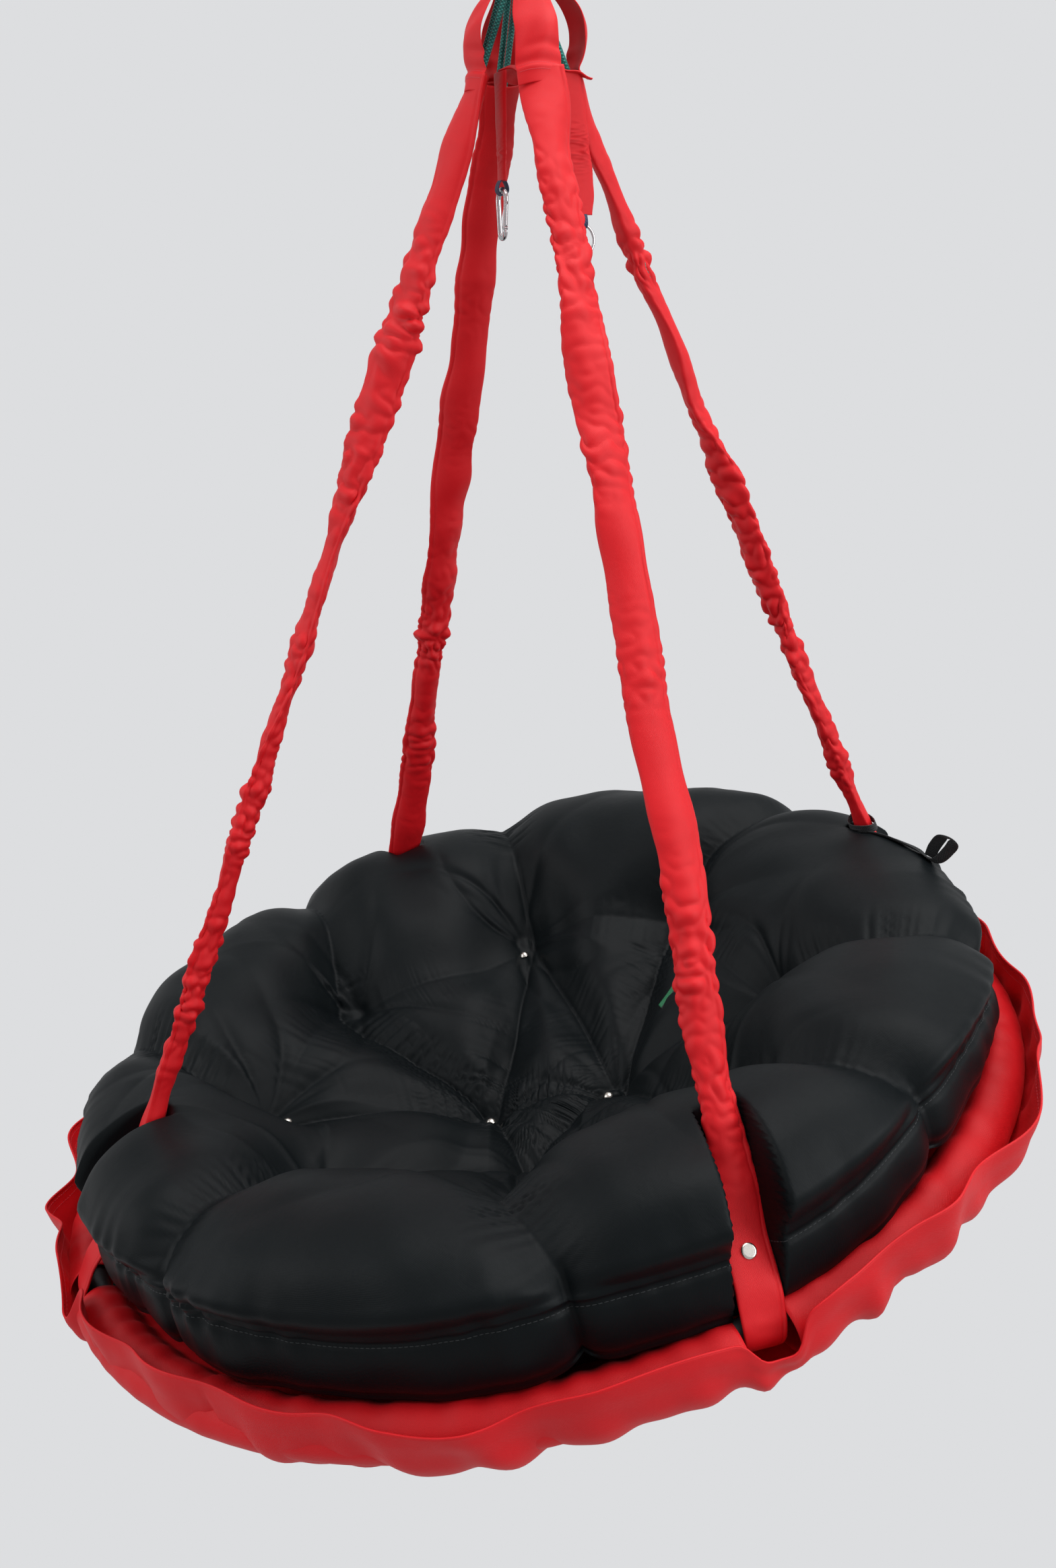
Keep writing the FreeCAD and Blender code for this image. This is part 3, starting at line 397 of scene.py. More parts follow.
def corners(node: str) -> tuple[Array, Array]:
    """The lowest and the highest corner of a CAD node's box."""
    low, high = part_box(node)
    return np.array(low), np.array(high)


APEX = pivot("front_back_swing")


class Side(Enum):
    """The four ropes, with their turn about the seat in degrees."""

    RIGHT = 0.0
    BACK = 90.0
    LEFT = 180.0
    FRONT = 270.0

    @property
    def label(self) -> str:
        """The side's name as the frame's nodes spell it."""
        return self.name.lower()


@dataclass(frozen=True)
class SeatPlane:
    """The tilted plane of the seat hoop."""

    centre: tuple[float, float, float]
    radius: float
    tube: float
    tilt: float

    @staticmethod
    def of_hoop() -> "SeatPlane":
        """Works out the plane from the hoop's box.

        The half sizes are R + t, R cos a + t and R sin a + t, for hoop radius R, tube radius t and tilt a.

        Returns:
            The seat plane.
        """
        low, high = corners("hoop")
        a, b, c = (high - low) / 2
        s = b + c - a
        tube = s - math.sqrt(s * s - (b * b + c * c - a * a))
        return SeatPlane(tuple((low + high) / 2), a - tube, tube, math.atan2(c - tube, b - tube))

    def world(self, local: Array) -> Array:
        """Points or directions about the hoop's centre, in its plane, put in the swing's frame."""
        return self.turned(local) + np.array(self.centre)

    def turned(self, local: Array) -> Array:
        """Directions in the hoop's plane turned to the swing's frame."""
        x, y, z = np.moveaxis(np.asarray(local, float), -1, 0)
        c, s = math.cos(self.tilt), math.sin(self.tilt)
        return np.stack([x, c * y - s * z, s * y + c * z], axis=-1)

    def local(self, points: Array) -> Array:
        """Points of the swing's frame in the hoop's plane."""
        x, y, z = np.moveaxis(np.asarray(points, float) - np.array(self.centre), -1, 0)
        c, s = math.cos(self.tilt), math.sin(self.tilt)
        return np.stack([x, c * y + s * z, -s * y + c * z], axis=-1)


SEAT = SeatPlane.of_hoop()


class RopeLine:
    """The straight line of one rope from the meeting point to the hoop, with its directions."""

    def __init__(self, side: Side) -> None:
        """Sets up the line's end, length and its down, across and outward directions."""
        turn = math.radians(side.value)
        radial = np.array([math.cos(turn), math.sin(turn), 0.0])
        self.side = side
        self.end = SEAT.world(radial * SEAT.radius)
        self.length = float(np.linalg.norm(self.end - APEX))
        self.down = unit(self.end - APEX)
        tangent = SEAT.turned(np.array([-math.sin(turn), math.cos(turn), 0.0]))
        self.across = unit(tangent - self.down * tangent.dot(self.down))
        outward = np.cross(self.across, self.down)
        self.outward = outward if outward.dot(radial) > 0 else -outward

    def at(self, along: Array, across: Array = 0.0, outward: Array = 0.0) -> Array:
        """Points at a distance down the line, beside it and away from the swing's middle."""
        a, b, c = (np.asarray(v, float)[..., None] for v in (along, across, outward))
        return APEX + a * self.down + b * self.across + c * self.outward

    def up(self, height: Array, across: Array = 0.0, outward: Array = 0.0) -> Array:
        """As at, with the distance taken upwards from the hoop."""
        return self.at(self.length - np.asarray(height, float), across, outward)

    def coordinates(self, points: Array) -> tuple[Array, Array, Array]:
        """Height above the hoop, distance across and distance outward of points."""
        rel = np.asarray(points, float) - APEX
        return self.length - rel @ self.down, rel @ self.across, rel @ self.outward


ROPES = {side: RopeLine(side) for side in Side}


# --- finishes -----------------------------------------------------------------------------------
def socket_in(group: bpy.types.NodeTree, kind: str, name: str, value: float | None = None) -> None:
    """Adds a named input to a node group, with its value if one is given."""
    made = group.interface.new_socket(name=name, in_out="INPUT", socket_type=kind)
    if value is not None:
        made.default_value = value


def socket_out(group: bpy.types.NodeTree, kind: str, name: str) -> None:
    """Adds a named output to a node group."""
    group.interface.new_socket(name=name, in_out="OUTPUT", socket_type=kind)


def math_node(tree: bpy.types.NodeTree, operation: str, first: object,
              second: object = None) -> bpy.types.NodeSocket:
    """A Math node fed by sockets or numbers, and its result."""
    node = tree.nodes.new("ShaderNodeMath")
    node.operation = operation
    for index, value in enumerate((first, second)):
        if isinstance(value, bpy.types.NodeSocket):
            tree.links.new(value, node.inputs[index])
        elif value is not None:
            node.inputs[index].default_value = value
    return node.outputs[0]


def weave_group() -> bpy.types.NodeTree:
    """Plain weave: height is sin(u) sin(v) of the thread angles, broken by fine noise.

    Returns:
        A group with inputs Vector, Threads and Slub, and outputs Height and Fleck.
    """
    group = bpy.data.node_groups.new("plain_weave", "ShaderNodeTree")
    socket_in(group, "NodeSocketVector", "Vector")
    socket_in(group, "NodeSocketFloat", "Threads", 2000.0)
    socket_in(group, "NodeSocketFloat", "Slub", 0.35)
    socket_out(group, "NodeSocketFloat", "Height")
    socket_out(group, "NodeSocketFloat", "Fleck")
    entry = group.nodes.new("NodeGroupInput")
    leave = group.nodes.new("NodeGroupOutput")
    parts = group.nodes.new("ShaderNodeSeparateXYZ")
    group.links.new(entry.outputs["Vector"], parts.inputs[0])
    angle = math_node(group, "MULTIPLY", entry.outputs["Threads"], math.pi)
    warp = math_node(group, "SINE", math_node(group, "MULTIPLY", parts.outputs[0], angle))
    weft = math_node(group, "SINE", math_node(group, "MULTIPLY", parts.outputs[1], angle))
    noise = group.nodes.new("ShaderNodeTexNoise")
    noise.inputs["Scale"].default_value = 900.0
    noise.inputs["Detail"].default_value = 3.0
    group.links.new(entry.outputs["Vector"], noise.inputs["Vector"])
    slub = math_node(group, "MULTIPLY", noise.outputs["Fac"], entry.outputs["Slub"])
    group.links.new(math_node(group, "ADD", math_node(group, "MULTIPLY", warp, weft), slub),
                    leave.inputs["Height"])
    group.links.new(noise.outputs["Fac"], leave.inputs["Fleck"])
    return group


def shade_group() -> bpy.types.NodeTree:
    """Mixes two colours by soft noise, as dye and handling vary over cloth or metal, and by the Fleck input:
    fine noise flecks for cloth and metal, and the groove depth for the braided cord, which paints shade into
    its grooves.

    Returns:
        A group with inputs Vector, Scale, Fleck, Light and Deep, and outputs Color and Mask.
    """
    group = bpy.data.node_groups.new("uneven_shade", "ShaderNodeTree")
    socket_in(group, "NodeSocketVector", "Vector")
    socket_in(group, "NodeSocketFloat", "Scale", 9.0)
    socket_in(group, "NodeSocketFloat", "Fleck", 0.5)
    socket_in(group, "NodeSocketColor", "Light")
    socket_in(group, "NodeSocketColor", "Deep")
    socket_out(group, "NodeSocketColor", "Color")
    socket_out(group, "NodeSocketFloat", "Mask")
    entry = group.nodes.new("NodeGroupInput")
    leave = group.nodes.new("NodeGroupOutput")
    noise = group.nodes.new("ShaderNodeTexNoise")
    noise.inputs["Detail"].default_value = 5.0
    noise.inputs["Roughness"].default_value = 0.6
    group.links.new(entry.outputs["Vector"], noise.inputs["Vector"])
    group.links.new(entry.outputs["Scale"], noise.inputs["Scale"])
    spread = math_node(group, "MULTIPLY", math_node(group, "SUBTRACT", noise.outputs["Fac"], 0.5), 1.7)
    fleck = math_node(group, "MULTIPLY", math_node(group, "SUBTRACT", entry.outputs["Fleck"], 0.5), 0.9)
    mask = math_node(group, "ADD", math_node(group, "ADD", spread, fleck), 0.5)
    mix = group.nodes.new("ShaderNodeMix")
    mix.data_type = "RGBA"
    group.links.new(mask, mix.inputs[0])
    group.links.new(entry.outputs["Light"], mix.inputs[6])
    group.links.new(entry.outputs["Deep"], mix.inputs[7])
    group.links.new(mix.outputs[2], leave.inputs["Color"])
    group.links.new(mask, leave.inputs["Mask"])
    return group


WEAVE = weave_group()
SHADE = shade_group()


def new_material(name: str) -> tuple[bpy.types.Material, bpy.types.NodeTree, bpy.types.Node]:
    """An empty node material with its Principled shader."""
    material = bpy.data.materials.new(name)
    material.use_nodes = True
    tree = material.node_tree
    return material, tree, tree.nodes["Principled BSDF"]


def placed(tree: bpy.types.NodeTree, kind: str, **values: object) -> bpy.types.Node:
    """A new node with some of its inputs set."""
    node = tree.nodes.new(kind)
    for name, value in values.items():
        node.inputs[name].default_value = value
    return node


def group_node(tree: bpy.types.NodeTree, group: bpy.types.NodeTree, **values: object) -> bpy.types.Node:
    """A placed node group with some of its inputs set."""
    node = tree.nodes.new("ShaderNodeGroup")
    node.node_tree = group
    for name, value in values.items():
        node.inputs[name].default_value = value
    return node


def between(tree: bpy.types.NodeTree, mask: bpy.types.NodeSocket, low: float,
            high: float) -> bpy.types.NodeSocket:
    """Maps a mask from 0..1 to low..high."""
    node = placed(tree, "ShaderNodeMapRange", **{"To Min": low, "To Max": high})
    tree.links.new(mask, node.inputs["Value"])
    return node.outputs[0]


class Ground(Enum):
    """What a woven pattern follows."""

    OBJECT = "Object"
    UV = "UV"


@dataclass(frozen=True)
class Cloth:
    """A woven fabric's finish."""

    name: str
    light: tuple[float, float, float]
    deep: tuple[float, float, float]
    roughness: tuple[float, float] = (0.42, 0.6)
    threads: float = 1500.0
    relief: float = 0.00012
    crinkle: float = 0.0
    sheen: float = 0.1
    specular: float = 0.5
    ground: Ground = Ground.UV

    def make(self) -> bpy.types.Material:
        """Builds the material: weave and crinkles in the bump, dye and handling in colour and gloss.

        Returns:
            The material.
        """
        material, tree, shader = new_material(self.name)
        coordinates = tree.nodes.new("ShaderNodeTexCoord")
        place = coordinates.outputs[self.ground.value]
        weave = group_node(tree, WEAVE, Threads=self.threads)
        tree.links.new(place, weave.inputs["Vector"])
        shade = group_node(tree, SHADE, Scale=7.0, Light=(*self.light, 1), Deep=(*self.deep, 1))
        tree.links.new(coordinates.outputs["Object"], shade.inputs["Vector"])
        tree.links.new(weave.outputs["Fleck"], shade.inputs["Fleck"])
        tree.links.new(shade.outputs["Color"], shader.inputs["Base Color"])
        tree.links.new(between(tree, shade.outputs["Mask"], *self.roughness), shader.inputs["Roughness"])
        bump = placed(tree, "ShaderNodeBump", Strength=0.6, Distance=self.relief)
        tree.links.new(weave.outputs["Height"], bump.inputs["Height"])
        if self.crinkle:
            noise = placed(tree, "ShaderNodeTexNoise", Scale=55.0, Detail=4.0, Distortion=1.2)
            tree.links.new(coordinates.outputs["Object"], noise.inputs["Vector"])
            folds = placed(tree, "ShaderNodeBump", Strength=0.5, Distance=self.crinkle)
            tree.links.new(noise.outputs["Fac"], folds.inputs["Height"])
            tree.links.new(folds.outputs["Normal"], bump.inputs["Normal"])
        tree.links.new(bump.outputs["Normal"], shader.inputs["Normal"])
        shader.inputs["Sheen Weight"].default_value = self.sheen
        shader.inputs["Sheen Roughness"].default_value = 0.45
        shader.inputs["Specular IOR Level"].default_value = self.specular
        return material


@dataclass(frozen=True)
class Metal:
    """A bare or plated metal's finish."""

    name: str
    light: tuple[float, float, float]
    deep: tuple[float, float, float]
    roughness: tuple[float, float] = (0.18, 0.36)
    scale: float = 60.0
    relief: float = 0.00005
    metallic: float = 1.0

    def make(self) -> bpy.types.Material:
        """Builds the material: handling marks in colour and gloss, fine drawing lines in the bump.

        Returns:
            The material.
        """
        material, tree, shader = new_material(self.name)
        coordinates = tree.nodes.new("ShaderNodeTexCoord")
        stretch = placed(tree, "ShaderNodeMapping", Scale=(1.0, 1.0, 0.18))
        tree.links.new(coordinates.outputs["Object"], stretch.inputs["Vector"])
        marks = placed(tree, "ShaderNodeTexNoise", Scale=self.scale * 22, Detail=4.0)
        tree.links.new(stretch.outputs[0], marks.inputs["Vector"])
        shade = group_node(tree, SHADE, Scale=self.scale, Light=(*self.light, 1), Deep=(*self.deep, 1))
        tree.links.new(coordinates.outputs["Object"], shade.inputs["Vector"])
        tree.links.new(marks.outputs["Fac"], shade.inputs["Fleck"])
        tree.links.new(shade.outputs["Color"], shader.inputs["Base Color"])
        tree.links.new(between(tree, shade.outputs["Mask"], *self.roughness), shader.inputs["Roughness"])
        bump = placed(tree, "ShaderNodeBump", Strength=0.35, Distance=self.relief)
        tree.links.new(marks.outputs["Fac"], bump.inputs["Height"])
        tree.links.new(bump.outputs["Normal"], shader.inputs["Normal"])
        shader.inputs["Metallic"].default_value = self.metallic
        return material


@dataclass(frozen=True)
class Braid:
    """A braided cord's finish: crossing strands along the UV map, u round the cord and v along it."""

    name: str
    light: tuple[float, float, float]
    deep: tuple[float, float, float]
    pitch: float = 0.0065
    round_length: float = 0.0188
    strands: int = 4
    strand_relief: float = 0.0009

    def make(self) -> bpy.types.Material:
        """Builds the material: height |sin(a + b)| times |sin(a - b)| of the angles round and along, with the
        colour pushed towards the deep teal where the height is low, painted shade in the grooves between
        strands, on top of a random change of tone.

        Returns:
            The material.
        """
        material, tree, shader = new_material(self.name)
        coordinates = tree.nodes.new("ShaderNodeTexCoord")
        parts = tree.nodes.new("ShaderNodeSeparateXYZ")
        tree.links.new(coordinates.outputs["UV"], parts.inputs[0])
        a = math_node(tree, "MULTIPLY", parts.outputs[0], self.strands * math.pi / self.round_length)
        b = math_node(tree, "MULTIPLY", parts.outputs[1], math.pi / self.pitch * 2)
        one = math_node(tree, "ABSOLUTE", math_node(tree, "SINE", math_node(tree, "ADD", a, b)))
        two = math_node(tree, "ABSOLUTE", math_node(tree, "SINE", math_node(tree, "SUBTRACT", a, b)))
        height = math_node(tree, "MULTIPLY", one, two)
        shade = group_node(tree, SHADE, Scale=40.0, Light=(*self.light, 1), Deep=(*self.deep, 1))
        tree.links.new(coordinates.outputs["Object"], shade.inputs["Vector"])
        # Painted shade: 1 - height darkens the colour towards the deep teal in the low grooves between the
        # strands.
        tree.links.new(math_node(tree, "SUBTRACT", 1.0, height), shade.inputs["Fleck"])
        tree.links.new(shade.outputs["Color"], shader.inputs["Base Color"])
        tree.links.new(between(tree, height, 0.75, 0.45), shader.inputs["Roughness"])
        bump = placed(tree, "ShaderNodeBump", Strength=0.9, Distance=self.strand_relief)
        tree.links.new(height, bump.inputs["Height"])
        tree.links.new(bump.outputs["Normal"], shader.inputs["Normal"])
        shader.inputs["Sheen Weight"].default_value = 0.15
        return material


@dataclass(frozen=True)
class Label:
    """A blank woven label's finish: dark satin with a plain green edge band."""

    name: str = "woven_label"
    dark: tuple[float, float, float] = (0.012, 0.015, 0.014)
    green: tuple[float, float, float] = (0.01, 0.16, 0.06)
    band_from: float = 0.0105
    band_full: float = 0.0112

    def make(self) -> bpy.types.Material:
        """Builds the material: a band of green along one edge of the UV map, and a fine weave.

        Returns:
            The material.
        """
        material, tree, shader = new_material(self.name)
        coordinates = tree.nodes.new("ShaderNodeTexCoord")
        parts = tree.nodes.new("ShaderNodeSeparateXYZ")
        tree.links.new(coordinates.outputs["UV"], parts.inputs[0])
        band = placed(tree, "ShaderNodeMapRange", **{"From Min": self.band_from, "From Max": self.band_full})
        tree.links.new(parts.outputs[0], band.inputs["Value"])
        mix = tree.nodes.new("ShaderNodeMix")
        mix.data_type = "RGBA"
        mix.inputs[6].default_value = (*self.dark, 1)
        mix.inputs[7].default_value = (*self.green, 1)
        tree.links.new(band.outputs[0], mix.inputs[0])
        tree.links.new(mix.outputs[2], shader.inputs["Base Color"])
        weave = group_node(tree, WEAVE, Threads=2600.0)
        tree.links.new(coordinates.outputs["UV"], weave.inputs["Vector"])
        bump = placed(tree, "ShaderNodeBump", Strength=0.6, Distance=0.00008)
        tree.links.new(weave.outputs["Height"], bump.inputs["Height"])
        tree.links.new(bump.outputs["Normal"], shader.inputs["Normal"])
        tree.links.new(between(tree, weave.outputs["Fleck"], 0.4, 0.6), shader.inputs["Roughness"])
        return material


RED = Cloth("red_oxford_cloth", (0.80, 0.010, 0.016), (0.66, 0.004, 0.009), (0.40, 0.55), crinkle=0.0006,
            sheen=0.02, specular=0.3).make()
BLACK = Cloth("black_satin_cloth", (0.0046, 0.0068, 0.0078), (0.0028, 0.0042, 0.005), (0.36, 0.48),
              threads=2200.0,
              relief=0.00006, crinkle=0.0006, sheen=0.0, specular=0.13, ground=Ground.OBJECT).make()
RED_THREAD = Cloth("red_thread", (0.80, 0.05, 0.07), (0.62, 0.02, 0.035), ground=Ground.OBJECT).make()
BLACK_THREAD = Cloth("black_thread", (0.03, 0.034, 0.036), (0.015, 0.018, 0.02), ground=Ground.OBJECT).make()
BLACK_WEBBING = Cloth("black_webbing", (0.016, 0.017, 0.018), (0.008, 0.009, 0.010), (0.55, 0.75),
                      threads=700.0, relief=0.0004).make()
BLUE_WEBBING = Cloth("blue_webbing", (0.03, 0.05, 0.13), (0.012, 0.016, 0.03), (0.55, 0.75), threads=700.0,
                     relief=0.0004).make()
CORD = Braid("braided_teal_cord", (0.03, 0.40, 0.34), (0.0, 0.10, 0.09)).make()
LABEL = Label().make()
STEEL = Metal("zinc_plated_steel", (0.74, 0.75, 0.76), (0.55, 0.55, 0.56)).make()
BEARING = Metal("bright_bearing_steel", (0.62, 0.63, 0.65), (0.48, 0.48, 0.5), (0.1, 0.22)).make()
NICKEL = Metal("warm_nickel", (0.80, 0.76, 0.70), (0.74, 0.69, 0.62), (0.18, 0.24)).make()
HOOP_PAINT = Metal("dark_hoop_paint", (0.07, 0.07, 0.075), (0.04, 0.04, 0.042), (0.4, 0.55),
                   metallic=0.0).make()
PLASTIC = Metal("black_button_plastic", (0.03, 0.03, 0.03), (0.015, 0.015, 0.016), (0.38, 0.5),
                metallic=0.0).make()


# --- ropes --------------------------------------------------------------------------------------
@dataclass
class Ropes:
    """Four cords, each from its knot over the carabiner's bow and round the hoop, back to the knot."""

    diameter: float = 0.006
    gap: float = 0.0008
    wire: float = 0.011
    bow: float = 0.0245
    clearance: float = 0.0003
    first: float = 0.124
    knot_height: float = 0.060
    knot_bend: float = 0.014
    knot_radius: float = 0.0062
    knot_turns: int = 4
    knot_length: float = 0.0165
    knot_strand: float = 0.0026
    knot_sides: int = 10
    station: float = 0.003

    ORDER = {Side.BACK: 1.55, Side.RIGHT: 0.6, Side.LEFT: -0.6, Side.FRONT: -1.55}
    NEAR = {Side.BACK: 1, Side.RIGHT: 1, Side.LEFT: -1, Side.FRONT: 1}
    STRAND = {Side.BACK: 1, Side.RIGHT: 1, Side.LEFT: -1, Side.FRONT: -1}
    LENGTH = {Side.RIGHT: 2.564, Side.LEFT: 2.564, Side.BACK: 2.308, Side.FRONT: 2.786}

    def route(self, rope: RopeLine) -> list[Array]:
        """The corners of one cord's route, from its knot and back to it.

        Args:
            rope: the line that the cord follows.

        Returns:
            The route's points.
        """
        turn = self.wire / 2 + self.clearance + self.diameter / 2
        round_hoop = SEAT.tube / math.cos(SEAT.tilt) + self.clearance + self.diameter / 2
        angle = self.ORDER[rope.side] * (self.diameter + self.gap) / (self.bow - turn)
        over = APEX + np.array([0, math.sin(angle), -math.cos(angle)]) * (self.bow - turn)
        across = (self.diameter + self.gap) / 2 * self.STRAND[rope.side]
        near = np.array([1.0, 0, 0]) * self.NEAR[rope.side]
        first, second = rope.at(self.first, -across), rope.at(self.first, across)
        above = np.array([0, 0, 1.0]) * self.diameter
        h, k = round_hoop, self.knot_height
        return [
            rope.up(k, -across),
            first,
            over + near * turn * 1.15 - above,
            over + near * turn * 0.95 + above * 0.1,
            over - near * turn * 0.95 + above * 0.1,
            over - near * turn * 1.15 - above,
            second,
            rope.up(k + 0.004, across),
            rope.up(k * 0.55, across * 0.6, h * 0.75),
            rope.up(self.knot_bend, 0, h),
            rope.up(-h, 0, h),
            rope.up(-h, 0, -h),
            rope.up(self.knot_bend, 0, -h),
            rope.up(k * 0.55, -across * 0.25, -h * 0.75),
            rope.up(k - 0.005, -across / 2, -0.0046),
        ]

    def line(self, rope: RopeLine) -> Array:
        """Points along the smooth spline that has the route as its control points."""
        curve = bpy.data.curves.new("route", "CURVE")
        curve.dimensions = "3D"
        curve.resolution_u = 24
        spline_ = curve.splines.new("NURBS")
        points = self.route(rope)
        spline_.points.add(len(points) - 1)
        for point, place in zip(spline_.points, points):
            point.co = (*place, 1.0)
        spline_.order_u = 3
        spline_.use_endpoint_u = True
        holder = bpy.data.objects.new("route", curve)
        bpy.context.scene.collection.objects.link(holder)
        bpy.context.view_layer.update()
        mesh = bpy.data.meshes.new_from_object(holder)
        found = np.array([v.co[:] for v in mesh.vertices], float)
        bpy.data.objects.remove(holder)
        return found

    def build(self) -> None:
        """Makes the four cords and their knots and gives each its place in the frame."""
        for side, rope in ROPES.items():
            line = self.line(rope)
            places = lengths(line)
            count = int(places[-1] / self.station)
            even = np.linspace(0, places[-1], count)
            fine = np.stack([np.interp(even, places, line[:, k]) for k in range(3)], axis=1)
            cord = surface("cord_" + side.label, tube_grid(fine, self.diameter / 2, 12), CORD, closed=True,
                           caps=(True, True), flip=True)
            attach(cord, "seat")
            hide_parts("rope_" + side.label)
            LOG.info("cord %s %.3f m", side.label, places[-1])
        self.knots()

    def knots(self) -> None:
        """Barrel knots: a helix of four turns round both strands, its ends tucked in."""
        lines = []
        t = np.linspace(0, 1, 150)
        for rope in ROPES.values():
            turn = t * self.knot_turns * 2 * math.pi
            radius = self.knot_radius * (0.35 + 0.65 * ramp(0, 0.08, t) * ramp(0, 0.08, 1 - t))
            rise = (t - 0.5) * self.knot_length
            lines.append(rope.up(self.knot_height + rise, radius * np.cos(turn), radius * np.sin(turn)))
        sides = self.knot_sides
        grids = [tube_grid(line, self.knot_strand, sides) for line in lines]
        count = grids[0].shape[0] * grids[0].shape[1]
        quads = grid_faces(*grids[0].shape[:2], True).reshape(-1, 4)
        faces = np.concatenate([quads + i * count for i in range(len(grids))])
        ring = np.arange(sides)
        ends = np.concatenate([[ring[::-1] + i * count, ring + (i + 1) * count - sides]
                               for i in range(len(grids))])
        points = np.concatenate([g.reshape(-1, 3) for g in grids])
        uv = np.stack([points[faces][..., 0], points[faces][..., 2]], axis=-1)
        end_uv = np.zeros((len(ends), sides, 2))
        knots = object_of("cord_knots", points, [faces[:, ::-1], ends[:, ::-1]], [uv, end_uv], CORD)
        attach(knots, "seat")
        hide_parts("rope_knots")


# --- sleeves ------------------------------------------------------------------------------------
@dataclass(frozen=True)
class SleeveLook:
    """How one rope's fabric sleeve hangs: keys of share of its length and value."""

    width: tuple[tuple[float, float], ...]
    thick: tuple[tuple[float, float], ...]
    twist: tuple[tuple[float, float], ...]
    gathers: tuple[tuple[float, float, float], ...]
    seed: int


LOOKS = {
    Side.RIGHT: SleeveLook(
        width=((0, 0.043), (0.12, 0.036), (0.25, 0.041), (0.45, 0.037), (0.7, 0.039), (0.82, 0.032),
               (0.88, 0.030), (1, 0.038)),
        thick=((0, 0.015), (0.3, 0.0145), (0.7, 0.015), (0.85, 0.0175), (1, 0.015)),
        twist=((0, 0), (0.2, -12), (0.4, 9), (0.6, -6), (0.85, 16), (1, 0)),
        gathers=((0.18, 0.08, 0.8), (0.36, 0.04, 0.5), (0.55, 0.03, 0.3), (0.80, 0.05, 1.0),
                 (0.90, 0.03, 0.7)), seed=3),
    Side.BACK: SleeveLook(
        width=((0, 0.040), (0.12, 0.028), (0.19, 0.022), (0.3, 0.030), (0.5, 0.034), (0.7, 0.030),
               (0.9, 0.026), (1, 0.038)),
        thick=((0, 0.015), (0.12, 0.017), (0.4, 0.0165), (0.9, 0.0175), (1, 0.015)),
        twist=((0, 0), (0.15, 48), (0.3, 30), (0.5, -25), (0.75, 40), (0.92, 10), (1, 0)),
        gathers=((0.20, 0.03, 1.3), (0.5, 0.10, 0.9), (0.68, 0.07, 1.1), (0.84, 0.05, 0.9)), seed=8),
    Side.LEFT: SleeveLook(
        width=((0, 0.040), (0.2, 0.036), (0.4, 0.040), (0.6, 0.033), (0.64, 0.027), (0.8, 0.036), (1, 0.038)),
        thick=((0, 0.015), (0.5, 0.015), (0.62, 0.018), (1, 0.015)),
        twist=((0, 0), (0.25, 20), (0.5, 4), (0.75, 22), (1, 0)),
        gathers=((0.62, 0.03, 1.2), (0.57, 0.05, 0.5), (0.76, 0.06, 0.5)), seed=15),
    Side.FRONT: SleeveLook(
        width=((0, 0.042), (0.12, 0.038), (0.2, 0.043), (0.3, 0.040), (0.42, 0.032), (0.6, 0.024),
               (0.9, 0.023), (1, 0.038)),
        thick=((0, 0.015), (0.25, 0.018), (0.5, 0.0165), (0.9, 0.0175), (1, 0.015)),
        twist=((0, 0), (0.15, -26), (0.3, -40), (0.5, 20), (0.7, 55), (0.88, 60), (1, 0)),
        gathers=((0.20, 0.06, 1.2), (0.33, 0.06, 1.0), (0.50, 0.05, 0.7), (0.64, 0.06, 1.0),
                 (0.8, 0.06, 1.0)), seed=21),
}


